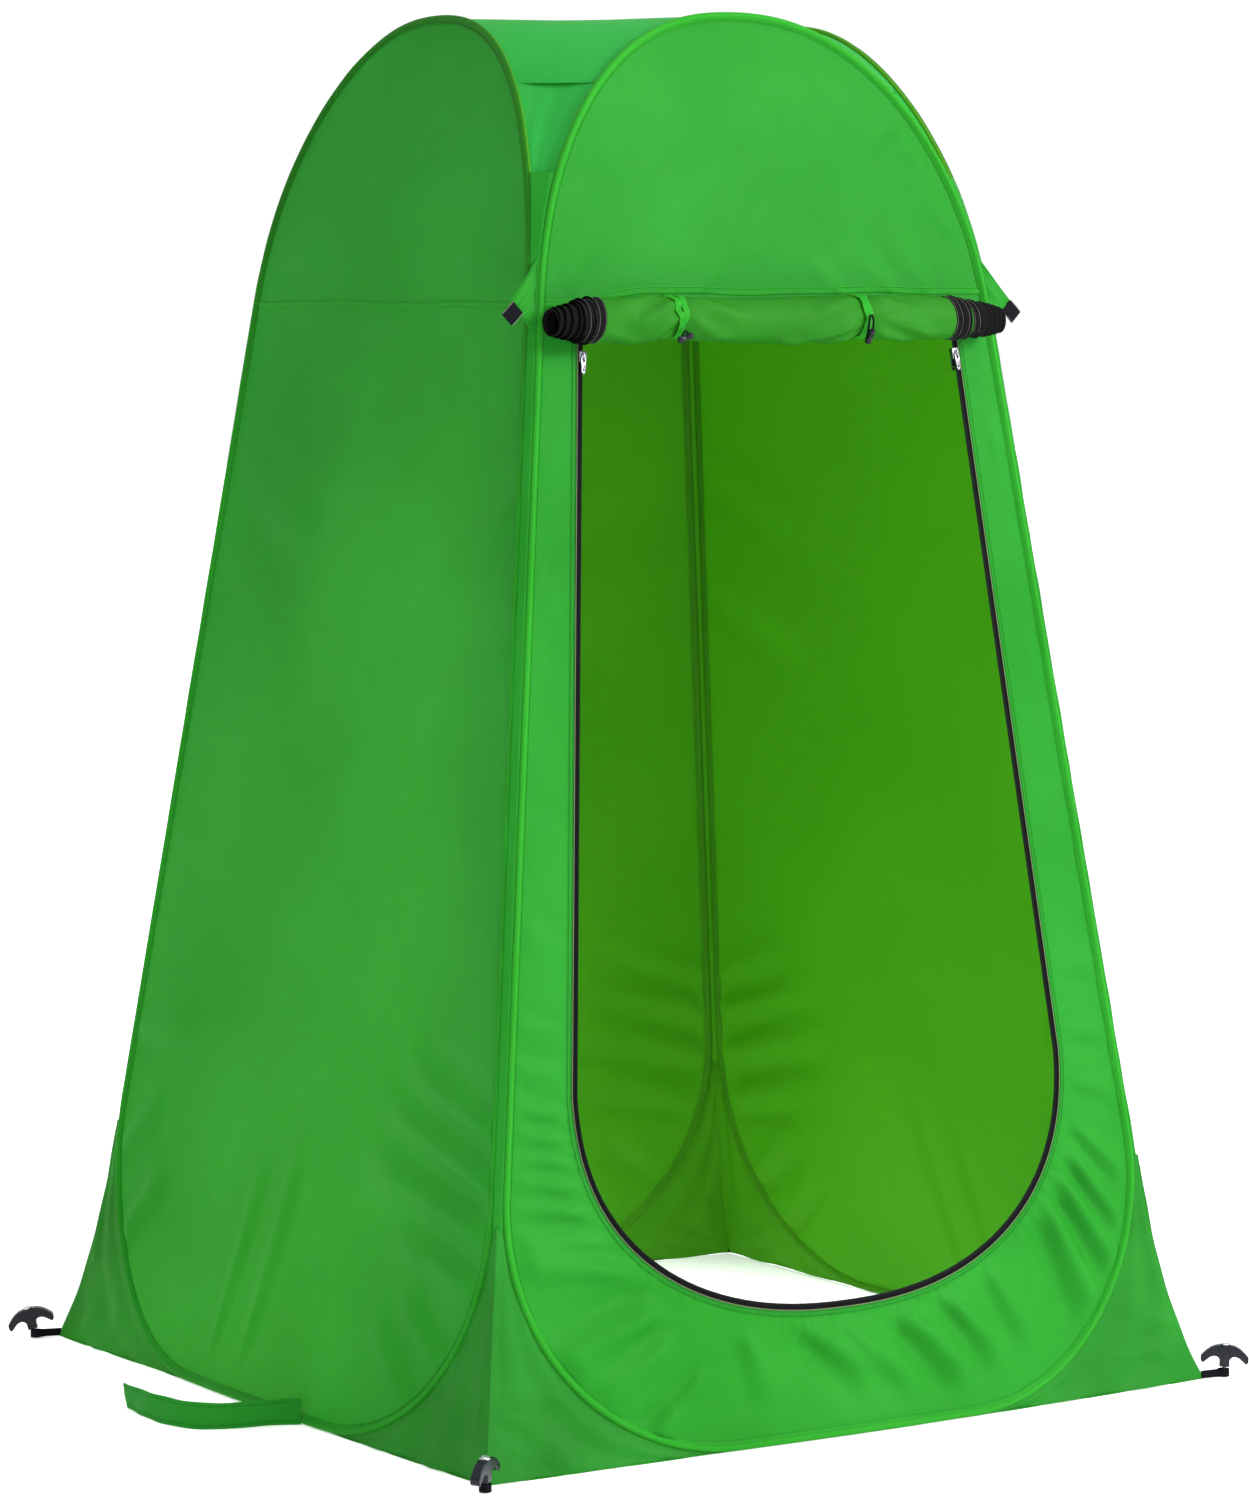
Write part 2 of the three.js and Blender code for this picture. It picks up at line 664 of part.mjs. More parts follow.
function addGuyTab(name, side) {
  const edge = (h) => wallOffset(h) + guyTabClear;
  const { tipWidth, reach } = guyTab;
  const top = shoulderHeight + guyTab.top;
  const bottom = shoulderHeight + guyTab.bottom;
  const tipHeight = shoulderHeight + guyTab.tipHeight;
  const tip = edge(tipHeight) + reach;
  const points = [
    [side * edge(top), top], [side * edge(bottom), bottom],
    [side * tip, tipHeight - tipWidth / 2], [side * tip, tipHeight + tipWidth / 2],
  ];
  addMesh(tent, `guy_tab_${name}`, wallCloth(points), greenCloth);
}

function stakeHook() {
  const [half, neck, round] = [hookSpan / 2, hookNeck, hookRound];
  const elbow = half * hookElbow;
  const above = (rise) => hookFoot + rise;
  const { root, armpit, under, end, tipUnder, tipSide } = hookArm;
  const shape = new THREE.Shape();
  shape.moveTo(-neck, hookFoot);
  shape.lineTo(-neck, above(root));
  shape.quadraticCurveTo(-neck - round, above(armpit), -elbow, above(under));
  shape.lineTo(-half + round, above(tipUnder));
  shape.lineTo(-half, above(tipSide));
  shape.lineTo(-half, above(end));
  shape.quadraticCurveTo(-elbow, hookTop, -neck, hookTop);
  shape.lineTo(neck, hookTop);
  shape.quadraticCurveTo(elbow, hookTop, half, above(end));
  shape.lineTo(half, above(tipSide));
  shape.lineTo(half - round, above(tipUnder));
  shape.lineTo(elbow, above(under));
  shape.quadraticCurveTo(neck + round, above(armpit), neck, above(root));
  shape.lineTo(neck, hookFoot);
  const options = { depth: hookThickness, bevelEnabled: false, curveSegments: 4 };
  const slab = mapped(new THREE.ExtrudeGeometry(shape, options), (p) =>
    new THREE.Vector3(p.x, p.z - hookThickness / 2, p.y));
  const hookBore = nailRadius + fitGap;
  const bore = new THREE.CylinderGeometry(hookBore, hookBore, hookTop * 2, 12);
  const upright = mapped(bore, (p) => new THREE.Vector3(p.x, -p.z, p.y + hookTop / 2));
  return fromManifold(toManifold(slab).subtract(toManifold(upright)));
}

function stakeNail() {
  const head = hookTop + seamGap;
  const rim = head + nailHead.rim;
  const top = head + nailHead.height;
  const profile = [
    [0, nailFoot], [nailRadius, nailFoot], [nailRadius, head], [nailHead.radius, head],
    [nailHead.radius, rim], [nailHead.domeRadius, top - seamGap], [0, top],
  ].map(([x, y]) => new THREE.Vector2(x, y));
  return mapped(new THREE.LatheGeometry(profile, 12), (p) => new THREE.Vector3(p.x, -p.z, p.y));
}

// Webbing loop round the nail, its tail along +X to the skirt
function stakeLoop() {
  const outer = stakeLoopRadius + webbingThickness;
  const tail = webbingThickness;
  const start = Math.asin(tail / outer);
  const shape = new THREE.Shape();
  shape.absarc(0, 0, outer, start, Math.PI * 2 - start, false);
  shape.lineTo(stakeLoopLength - webbingTuck, -tail);
  shape.lineTo(stakeLoopLength - webbingTuck, tail);
  shape.holes.push(new THREE.Path(disc(stakeLoopRadius, 10).getPoints()));
  const options = { depth: webbingWidth, bevelEnabled: false, curveSegments: 6 };
  const loop = new THREE.ExtrudeGeometry(shape, options);
  return mapped(loop, (p) => new THREE.Vector3(p.x, p.y, p.z + nailFoot));
}

function addCorner(name, turn) {
  const { bearing, reach, lean, turn: hookTurn } = stakes[name];
  const angle = THREE.MathUtils.degToRad(bearing);
  const pullOut = new THREE.Vector3(Math.cos(angle), Math.sin(angle), 0);
  const localPull = pullOut.clone().applyAxisAngle(new THREE.Vector3(0, 0, 1), -turn);
  const skirt = cornerSkirt(localPull.multiplyScalar(reach - stakeLoopLength));
  addMesh(tent, `corner_skirt_${name}`, skirt, greenCloth).rotation.z = turn;

  const corner = new THREE.Vector3(-footHalfWidth, -footHalfWidth, 0);
  corner.applyAxisAngle(new THREE.Vector3(0, 0, 1), turn);
  const spot = corner.addScaledVector(pullOut, reach);
  const loop = addMesh(tent, `stake_loop_${name}`, stakeLoop(), blackTape);
  loop.position.copy(spot);
  loop.rotation.z = angle + Math.PI;

  const tilt = new THREE.Group();
  tilt.position.copy(spot);
  const hinge = new THREE.Vector3(-pullOut.y, pullOut.x, 0);
  tilt.quaternion.setFromAxisAngle(hinge, THREE.MathUtils.degToRad(lean));
  tent.add(tilt);
  addMesh(tilt, `stake_nail_${name}`, stakeNail(), steel);
  const hook = addMesh(tilt, `stake_hook_${name}`, stakeHook(), blackPlastic);
  hook.rotation.z = THREE.MathUtils.degToRad(hookTurn);
}

function addStorageStrap() {
  const wallFoot = footHalfWidth + footBow;
  const knots = strapRoute.map(([off, y]) => new THREE.Vector3(-wallFoot - off, y, 0));
  const points = new THREE.CatmullRomCurve3(knots).getSpacedPoints(strapSteps);
  const up = new THREE.Vector3(0, 0, 1);
  const frames = points.map((point, i) => {
    const from = points[Math.max(0, i - 1)];
    const to = points[Math.min(points.length - 1, i + 1)];
    const along = to.clone().sub(from).normalize();
    return { side: along.cross(up), out: up };
  });
  const half = clothThickness / 2;
  const band = sweep(rectangle(-half, 0, half, strapWidth), points, frames);
  addMesh(tent, 'storage_strap', band, greenCloth);
}

const quarter = Math.PI / 2;
addWall('front', 0, true);
addWall('left', -quarter, false);
addWall('back', Math.PI, false);
addWall('right', quarter, false);
addCorner('front_left', 0);
addCorner('back_left', -quarter);
addCorner('back_right', Math.PI);
addCorner('front_right', quarter);
addMesh(tent, 'roof_panel', roofPanel(), roofCloth);
const gussetTurns = { front_left: 0, back_left: -quarter, back_right: Math.PI, front_right: quarter };
for (const [name, turn] of Object.entries(gussetTurns)) {
  addMesh(tent, `roof_gusset_${name}`, roofGusset(), roofCloth).rotation.z = turn;
}
addZip();
addSlider('left', -1);
addSlider('right', 1);
addRoll();
addGuyTab('left', -1);
addGuyTab('right', 1);
addStorageStrap();

// The origin is on the ground, in the middle of the whole object's outline
tent.updateMatrixWorld(true);
const bounds = new THREE.Box3().setFromObject(tent, true);
const middle = bounds.getCenter(new THREE.Vector3());
tent.position.set(-middle.x, -middle.y, -bounds.min.z);

export default tent;
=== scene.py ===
"""Pop-up privacy shower tent: cloth, sleeves, zip, rolled door and stakes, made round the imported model."""

import json
import math

import bmesh
import bpy
import numpy as np
from mathutils import Matrix, Vector


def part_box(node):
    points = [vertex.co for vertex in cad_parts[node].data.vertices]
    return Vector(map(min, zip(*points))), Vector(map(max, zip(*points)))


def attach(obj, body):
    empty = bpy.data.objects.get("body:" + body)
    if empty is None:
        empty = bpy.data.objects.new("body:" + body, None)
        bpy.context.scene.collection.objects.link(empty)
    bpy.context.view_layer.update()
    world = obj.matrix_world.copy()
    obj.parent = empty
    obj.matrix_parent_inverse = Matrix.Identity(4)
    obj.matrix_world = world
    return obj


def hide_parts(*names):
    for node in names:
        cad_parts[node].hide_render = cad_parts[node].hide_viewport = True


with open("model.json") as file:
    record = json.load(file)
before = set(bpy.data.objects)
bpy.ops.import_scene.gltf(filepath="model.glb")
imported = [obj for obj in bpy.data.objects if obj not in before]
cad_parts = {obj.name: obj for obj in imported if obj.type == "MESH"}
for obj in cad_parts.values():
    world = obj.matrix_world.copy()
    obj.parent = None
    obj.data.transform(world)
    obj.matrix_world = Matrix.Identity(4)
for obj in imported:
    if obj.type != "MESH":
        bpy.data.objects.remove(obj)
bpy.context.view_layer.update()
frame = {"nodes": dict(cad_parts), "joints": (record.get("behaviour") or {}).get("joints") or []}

# ---- Sizes of the tent, in metres, as in the part --------------------------------------------

TOTAL_HEIGHT = 1.753
ARCH_HEIGHT = 0.365
FOOT_HALF = 0.523
SHOULDER_HALF = 0.3467
ARCH_LEAN = 0.033
RISE_POWER, WIDTH_POWER = 2.26, 2.28
CORNER_RADIUS = 0.290
FOOT_BOW, BOW_HEIGHT = 0.028, 0.400
SLEEVE_RADIUS = 0.0055
CORNER_INSET = 0.011
ROOF_SEAM = TOTAL_HEIGHT - 0.093
GUSSET_FOOT = TOTAL_HEIGHT - 0.208

DOOR_TOP_HALF, DOOR_KNEE_HALF = 0.276, 0.362
DOOR_KNEE, DOOR_FOOT = 0.440, 0.160
DOOR_POWER = 2.3

ROLL_RADIUS, ROLL_DROP, ROLL_OFF = 0.030, 0.018, 0.003
ROLL_END_HALF = 0.344
TIE_OFFSETS = {"left": -0.168, "right": 0.108}

SHOULDER = TOTAL_HEIGHT - ARCH_HEIGHT
TAPER = (FOOT_HALF - SHOULDER_HALF) / SHOULDER
SLANT = math.hypot(1, TAPER)
ARCH_RISE = ARCH_HEIGHT - SLEEVE_RADIUS
HOOP_FOOT_HALF = FOOT_HALF - CORNER_INSET
CORNER_HEIGHT = SLEEVE_RADIUS + CORNER_RADIUS
CORNER_X = HOOP_FOOT_HALF - TAPER * CORNER_HEIGHT - CORNER_RADIUS * SLANT
SIDE_ANGLE = math.atan(TAPER)

TURNS = {"front": 0.0, "left": -math.pi / 2, "back": math.pi, "right": math.pi / 2}
CORNER_TURNS = {"front_left": 0.0, "back_left": -math.pi / 2,
                "back_right": math.pi, "front_right": math.pi / 2}
# Where each stake stands: bearing in degrees from +X, and reach from the corner of the tent
STAKES = {"front_left": (236, 0.052), "back_left": (165, 0.062),
          "back_right": (38, 0.062), "front_right": (354, 0.072)}
LOOP_LENGTH = 0.030

CENTRE = Vector((
    (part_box("hoop_left")[0].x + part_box("hoop_right")[1].x) / 2,
    (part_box("hoop_front")[0].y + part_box("hoop_back")[1].y) / 2,
    0.0))
HEART = Vector((CENTRE.x, CENTRE.y, 0.9))
JOINTS = {joint["name"]: joint for joint in frame["joints"]}


# ---- Camera ----------------------------------------------------------------------------------

CAMERA_LENS, CAMERA_SENSOR = 126.0, 36
CAMERA_FROM_CENTRE = (-3.724, -5.737, 1.417)
CAMERA_YAW, CAMERA_PITCH = math.radians(33.07), math.radians(5.10)


def add_camera():
    data = bpy.data.cameras.new("camera")
    data.lens = CAMERA_LENS
    data.sensor_width = CAMERA_SENSOR
    camera = bpy.data.objects.new("camera", data)
    camera.location = CENTRE + Vector(CAMERA_FROM_CENTRE)
    camera.rotation_euler = (math.pi / 2 - CAMERA_PITCH, 0, -CAMERA_YAW)
    bpy.context.scene.collection.objects.link(camera)
    bpy.context.scene.camera = camera


add_camera()


# ---- Shape of a wall -------------------------------------------------------------------------
# Wall coordinates: x across, h height, and out of the tent. The front wall is the pattern.

def smooth(share):
    share = np.clip(share, 0, 1)
    return share * share * (3 - 2 * share)


def wall_offset(h):
    share = np.clip((h - SHOULDER) / ARCH_RISE, 0, None)
    return FOOT_HALF - TAPER * h - ARCH_LEAN * share ** 2


def bow(x, h):
    across = np.clip(1 - (x / wall_offset(h)) ** 2, 0, None)
    return FOOT_BOW * across * np.clip(1 - h / BOW_HEIGHT, 0, None) ** 2


def arch_half(h, inset=0.0):
    share = np.clip((h - SHOULDER) / (ARCH_RISE - inset), 0, 1)
    side = HOOP_FOOT_HALF - TAPER * h - inset * SLANT
    return side * (1 - share ** RISE_POWER) ** (1 / WIDTH_POWER)


def turned(points, angle):
    """Points of the pattern wall, turned to their own side of the tent."""
    c, s = math.cos(angle), math.sin(angle)
    x, y = points[..., 0], points[..., 1]
    return np.stack([c * x - s * y + CENTRE.x, s * x + c * y + CENTRE.y, points[..., 2]], -1)


def fold(x, h, crease):
    """How far a crease lifts the cloth; it starts narrow at one end and widens to the other."""
    x0, h0, x1, h1, width, depth = crease
    dx, dh = x1 - x0, h1 - h0
    length = math.hypot(dx, dh)
    along = ((x - x0) * dx + (h - h0) * dh) / length ** 2
    spread = width * (0.6 + 0.7 * np.clip(along, 0, 1))
    off = ((x - x0) * dh - (h - h0) * dx) / length / spread
    ends = smooth(along * 3.5 + 0.25) * smooth((1 - along) * 2.6 + 0.25)
    return depth * ends * (np.exp(-off ** 2) - 0.6 * np.exp(-(off - 1.6) ** 2))


def door_half(out, count):
    """Right half of the door's outline, moved outwards: foot, round bottom, straight side."""
    angle = np.linspace(0, math.pi / 2, count)
    knee = DOOR_KNEE_HALF + out
    x = knee * np.sin(angle) ** (2 / DOOR_POWER)
    drop = np.clip(np.cos(angle), 0, None) ** (2 / DOOR_POWER)
    h = DOOR_KNEE - (DOOR_KNEE - DOOR_FOOT + out) * drop
    lean = (DOOR_KNEE_HALF - DOOR_TOP_HALF) / (SHOULDER - DOOR_KNEE)
    up = np.linspace(0, 1, count)[1:]
    top = SHOULDER - 0.0003
    side_h = DOOR_KNEE + (top - DOOR_KNEE) * up
    side_x = knee - lean * (side_h - DOOR_KNEE)
    return np.column_stack([np.append(x, side_x), np.append(h, side_h)])


def both_halves(half):
    """The whole outline from a right half, from the left end round to the right end."""
    return np.vstack([half[::-1] * (-1, 1), half[1:]])


def along_path(points, shares):
    """Points at the given shares of a path's length."""
    steps = np.linalg.norm(np.diff(points, axis=0), axis=1)
    reach = np.append(0, np.cumsum(steps))
    return np.column_stack([np.interp(shares * reach[-1], reach, points[:, k])
                            for k in range(points.shape[1])])


DOOR_LINE = along_path(both_halves(door_half(0, 240)), np.linspace(0, 1, 900))
DOOR_LENGTH = float(np.linalg.norm(np.diff(DOOR_LINE, axis=0), axis=1).sum())


def from_door(x, h):
    """Distance along the door's edge, and distance from it, for points of the front wall."""
    x, h = np.broadcast_arrays(np.asarray(x, float), np.asarray(h, float))
    flat = np.column_stack([x.ravel(), h.ravel()])
    along, off = np.empty(len(flat)), np.empty(len(flat))
    for first in range(0, len(flat), 4000):
        block = flat[first:first + 4000]
        gap = np.linalg.norm(block[:, None] - DOOR_LINE[None], axis=2)
        nearest = gap.argmin(1)
        along[first:first + 4000] = nearest / (len(DOOR_LINE) - 1) * DOOR_LENGTH
        off[first:first + 4000] = gap[np.arange(len(block)), nearest]
    return along.reshape(x.shape), off.reshape(x.shape)


# Creases of the cloth, each as its two ends, width and depth
FRONT_FOLDS = [
    (-0.366, 0.520, -0.462, 0.528, 0.011, 0.0016), (-0.366, 0.470, -0.462, 0.478, 0.011, 0.0024),
    (-0.368, 0.420, -0.466, 0.432, 0.012, 0.0030), (-0.366, 0.388, -0.470, 0.404, 0.011, 0.0036),
    (-0.362, 0.362, -0.470, 0.374, 0.010, 0.0030), (-0.358, 0.332, -0.474, 0.346, 0.012, 0.0040),
    (-0.350, 0.300, -0.476, 0.316, 0.012, 0.0040), (-0.330, 0.262, -0.474, 0.282, 0.015, 0.0050),
    (-0.300, 0.228, -0.474, 0.252, 0.017, 0.0055), (-0.262, 0.182, -0.430, 0.112, 0.026, 0.0065),
    (-0.250, 0.140, -0.372, 0.078, 0.020, 0.0045), (-0.210, 0.100, -0.300, 0.016, 0.012, 0.0030),
    (-0.262, 0.060, -0.312, 0.022, 0.009, 0.0024), (-0.150, 0.140, -0.120, 0.050, 0.018, 0.0030),
    (-0.075, 0.150, 0.040, 0.070, 0.020, 0.0060), (-0.020, 0.150, 0.100, 0.050, 0.016, 0.0036),
    (0.075, 0.150, 0.185, 0.050, 0.020, 0.0066), (0.150, 0.160, 0.238, 0.064, 0.016, 0.0050),
    (0.225, 0.180, 0.290, 0.080, 0.016, 0.0030), (0.325, 0.250, 0.398, 0.100, 0.021, 0.0066),
    (0.352, 0.280, 0.452, 0.140, 0.017, 0.0060), (0.372, 0.310, 0.460, 0.195, 0.013, 0.0050),
    (0.374, 0.350, 0.466, 0.270, 0.011, 0.0030), (0.372, 0.400, 0.462, 0.380, 0.011, 0.0020),
    (0.370, 0.460, 0.458, 0.458, 0.012, 0.0020), (0.366, 0.540, 0.450, 0.548, 0.014, 0.0016),
    (-0.360, 0.620, -0.452, 0.640, 0.020, 0.0014), (-0.350, 0.760, -0.436, 0.740, 0.026, 0.0012),
    (0.352, 0.700, 0.440, 0.730, 0.026, 0.0014), (0.330, 0.960, 0.410, 0.920, 0.030, 0.0012),
    (-0.330, 1.020, -0.400, 1.060, 0.026, 0.0012), (-0.300, 1.250, -0.360, 1.180, 0.018, 0.0014),
    (0.300, 1.260, 0.360, 1.190, 0.018, 0.0014),
]
ARCH_FOLDS = [
    (0.200, 1.400, 0.130, 1.460, 0.014, 0.0016), (0.120, 1.395, 0.060, 1.450, 0.012, 0.0014),
    (0.250, 1.395, 0.200, 1.480, 0.016, 0.0016), (-0.120, 1.395, -0.060, 1.440, 0.012, 0.0012),
    (-0.300, 1.400, -0.240, 1.520, 0.020, 0.0016), (0.305, 1.470, 0.230, 1.560, 0.018, 0.0020),
    (0.280, 1.540, 0.215, 1.610, 0.014, 0.0018), (0.240, 1.610, 0.180, 1.560, 0.012, 0.0014),
    (-0.280, 1.560, -0.200, 1.600, 0.018, 0.0014),
]
SIDE_FOLDS = [
    (0.485, 0.400, 0.250, 0.450, 0.020, 0.0032), (0.486, 0.340, 0.200, 0.400, 0.022, 0.0042),
    (0.480, 0.280, 0.180, 0.335, 0.024, 0.0044), (0.462, 0.220, 0.260, 0.250, 0.020, 0.0032),
    (0.420, 0.110, 0.300, 0.180, 0.018, 0.0030), (0.350, 0.060, 0.240, 0.150, 0.016, 0.0026),
    (-0.060, 0.040, 0.010, 0.340, 0.014, 0.0016), (-0.140, 0.040, -0.080, 0.300, 0.012, 0.0014),
    (-0.470, 0.260, -0.360, 0.340, 0.018, 0.0030), (-0.440, 0.140, -0.330, 0.250, 0.018, 0.0030),
    (-0.480, 0.420, -0.300, 0.450, 0.022, 0.0022), (0.390, 0.980, 0.180, 0.880, 0.030, 0.0018),
    (0.370, 1.150, 0.120, 1.020, 0.030, 0.0016), (-0.350, 1.200, -0.120, 1.080, 0.034, 0.0014),
    (-0.300, 1.440, -0.180, 1.450, 0.012, 0.0016), (0.300, 1.430, 0.160, 1.450, 0.014, 0.0012),
]


def folded(x, h, creases, strength=1.4):
    return strength * sum(fold(x, h, crease) for crease in creases)


def crumple(a, b, seed):
    """Irregular sharp little creases, as in cloth that has been folded away."""
    total = 0.0
    for k in range(5):
        turn = 0.9 * k + 1.7 * seed
        run = (a * math.cos(turn) + b * math.sin(turn)) * (24 + 17 * k)
        sway = 1.8 * np.sin(13 * a + 7 * b + 2.1 * k + seed) + 0.9 * np.sin(31 * b - 11 * a + k)
        total = total + (0.64 - np.abs(np.sin(run + sway))) / (1.6 + k)
    return total


def billow(x, h, seed):
    """Slow unevenness of a taut cloth."""
    waves = (np.sin(5.1 * x + 2.3 * h + seed) * np.sin(3.7 * h - 1.9 * x + 2 * seed)
             + 0.5 * np.sin(11.3 * x - 6.1 * h + 3 * seed) * np.sin(7.9 * h + 4.3 * x + seed))
    return 0.0016 * waves


# How strongly each wall's creases and fine crumpling show
FRONT_STRENGTH, SIDE_STRENGTH, BACK_STRENGTH = 2.1, 2.6, 2.2
FRONT_CRUMPLE, WALL_CRUMPLE = 0.0007, 0.0005


def front_relief(x, h):
    along, off = from_door(x, h)
    low = smooth((0.62 - h) / 0.3)
    drift = 0.9 * np.sin(23 * along) + 0.6 * np.sin(57 * along + 1)
    pucker = np.sin(2 * math.pi * along / 0.0155 + drift) * np.exp(-off / 0.024)
    strength = 0.55 + 0.45 * np.sin(31 * along + 2)
    clear_of_zip = smooth((off - 0.009) / 0.010)
    ripple = 0.0026 * (0.12 + 0.88 * low) * strength * pucker * clear_of_zip
    held = smooth((off - 0.008) / 0.05)
    waves = folded(x, h, FRONT_FOLDS, FRONT_STRENGTH) + billow(x, h, 0.4)
    waves = waves + FRONT_CRUMPLE * crumple(x, h, 2) * low
    return ripple + held * waves


def arch_relief(x, h):
    return folded(x, h, ARCH_FOLDS) + billow(x, h, 1.3)


def side_relief(seed):
    def relief(x, h):
        waves = folded(x, h, SIDE_FOLDS, SIDE_STRENGTH) + billow(x, h, seed)
        return waves + WALL_CRUMPLE * crumple(x, h, seed)
    return relief


def back_relief(x, h):
    return folded(-x, h, SIDE_FOLDS, BACK_STRENGTH) + billow(x, h, 5.2) + WALL_CRUMPLE * crumple(x, h, 4)


RELIEFS = {
    "front": lambda x, h: np.where(h < SHOULDER, front_relief(x, h), arch_relief(x, h)),
    "left": side_relief(2.1), "back": back_relief, "right": side_relief(3.6),
}


def edge_hold(x, h):
    """1 in the open wall, falling to 0 at the hoop and at the shoulder seam, which hold it flat."""
    half = np.where(h > CORNER_HEIGHT, arch_half(h),
                    CORNER_X + np.sqrt(np.clip(CORNER_RADIUS ** 2 - (CORNER_HEIGHT - h) ** 2, 0, None)))
    side = smooth((half - np.abs(x)) / 0.03)
    foot = smooth((h - SLEEVE_RADIUS) / 0.02)
    seam = smooth(np.abs(h - SHOULDER) / 0.02)
    return side * foot * (0.15 + 0.85 * seam)


def on_wall(wall, x, h, out=0.0):
    x, h = np.broadcast_arrays(np.asarray(x, float), np.asarray(h, float))
    relief = RELIEFS[wall](x, h) * edge_hold(x, h)
    points = np.stack([x, -(wall_offset(h) + bow(x, h) + relief + out), h], -1)
    return turned(points, TURNS[wall])


# ---- Finishes --------------------------------------------------------------------------------

def node_maker(material):
    tree = material.node_tree
    tree.nodes.clear()

    def add(kind, inputs=(), **settings):
        node = tree.nodes.new(kind)
        for key, value in settings.items():
            setattr(node, key, value)
        for key, value in dict(inputs).items():
            if isinstance(value, bpy.types.NodeSocket):
                tree.links.new(value, node.inputs[key])
            else:
                node.inputs[key].default_value = value
        return node

    return add


def ramp_between(add, factor, low, high, start=0.0, end=1.0):
    ramp = add("ShaderNodeValToRGB", {"Fac": factor})
    ramp.color_ramp.elements[0].position = start
    ramp.color_ramp.elements[0].color = (*low, 1)
    ramp.color_ramp.elements[1].position = end
    ramp.color_ramp.elements[1].color = (*high, 1)
    return ramp.outputs["Color"]


def woven(add, uv, across, along):
    """Height of a plain weave with the given spacing of its threads, in metres."""
    bands = []
    for direction, pitch in (("X", across), ("Y", along)):
        wave = add("ShaderNodeTexWave", {"Vector": uv, "Scale": math.pi / 10 / pitch},
                   wave_type="BANDS", bands_direction=direction)
        bands.append(wave.outputs["Fac"])
    both = add("ShaderNodeMath", {0: bands[0], 1: bands[1]}, operation="MULTIPLY")
    return both.outputs[0]


THREAD_PITCH = 0.0006


def cloth_material(name, colour, shade, through, glow, rough=0.5, crinkle=0.5, painted_top_shade=None):
    """Thin woven cloth. through tints the light that passes, and glow is the share that does."""
    material = bpy.data.materials.new(name)
    material.use_nodes = True
    add = node_maker(material)
    place = add("ShaderNodeTexCoord")
    weave = woven(add, place.outputs["UV"], THREAD_PITCH, THREAD_PITCH)
    slow = add("ShaderNodeTexNoise", {"Vector": place.outputs["Object"], "Scale": 4.0, "Detail": 3.0})
    fine = add("ShaderNodeTexNoise",
               {"Vector": place.outputs["Object"], "Scale": 46.0, "Detail": 5.0, "Roughness": 0.6})
    tint = ramp_between(add, slow.outputs["Fac"], shade, colour, 0.30, 0.62)
    # Painted shade: from 1.15 m to 1.5 m up, the colour blends into a darker one, standing for the shade on
    # the tops of the side sleeves
    if painted_top_shade:
        height = add("ShaderNodeSeparateXYZ", {0: place.outputs["Object"]})
        upper = add("ShaderNodeMapRange", {"Value": height.outputs["Z"], "From Min": 1.15, "From Max": 1.5})
        top_shaded = add("ShaderNodeMix", {0: upper.outputs[0], 6: tint, 7: (*painted_top_shade, 1)}, data_type="RGBA")
        tint = top_shaded.outputs[2]
    gloss = add("ShaderNodeMapRange", {"Value": fine.outputs["Fac"], "To Min": rough - 0.07,
                                       "To Max": rough + 0.09})
    rumple = add("ShaderNodeBump", {"Height": fine.outputs["Fac"], "Strength": crinkle,
                                    "Distance": 0.0012})
    threads = add("ShaderNodeBump", {"Height": weave, "Strength": 0.25, "Distance": THREAD_PITCH / 3,
                                     "Normal": rumple.outputs["Normal"]})
    face = add("ShaderNodeBsdfPrincipled",
               {"Base Color": tint, "Roughness": gloss.outputs[0], "Specular IOR Level": 0.08,
                "Normal": threads.outputs["Normal"]})
    passed = add("ShaderNodeBsdfTranslucent", {"Color": (*through, 1), "Normal": rumple.outputs["Normal"]})
    mix = add("ShaderNodeMixShader", {0: glow, 1: face.outputs[0], 2: passed.outputs[0]})
    add("ShaderNodeOutputMaterial", {"Surface": mix.outputs[0]})
    return material


def webbing_material(name, colour, highlight, rib, rough=0.62):
    """Thick ribbed tape or webbing, its ribs across the piece's own length."""
    material = bpy.data.materials.new(name)
    material.use_nodes = True
    add = node_maker(material)
    place = add("ShaderNodeTexCoord")
    weave = woven(add, place.outputs["UV"], rib * 0.7, rib)
    fuzz = add("ShaderNodeTexNoise", {"Vector": place.outputs["Object"], "Scale": 900.0, "Detail": 2.0})
    tint = ramp_between(add, weave, colour, highlight, 0.2, 0.95)
    threads = add("ShaderNodeBump", {"Height": weave, "Strength": 0.7, "Distance": rib / 3})
    rough_map = add("ShaderNodeMapRange", {"Value": fuzz.outputs["Fac"], "To Min": rough - 0.08,
                                           "To Max": rough + 0.1})
    face = add("ShaderNodeBsdfPrincipled",
               {"Base Color": tint, "Roughness": rough_map.outputs[0], "Specular IOR Level": 0.06,
                "Normal": threads.outputs["Normal"]})
    add("ShaderNodeOutputMaterial", {"Surface": face.outputs[0]})
    return material


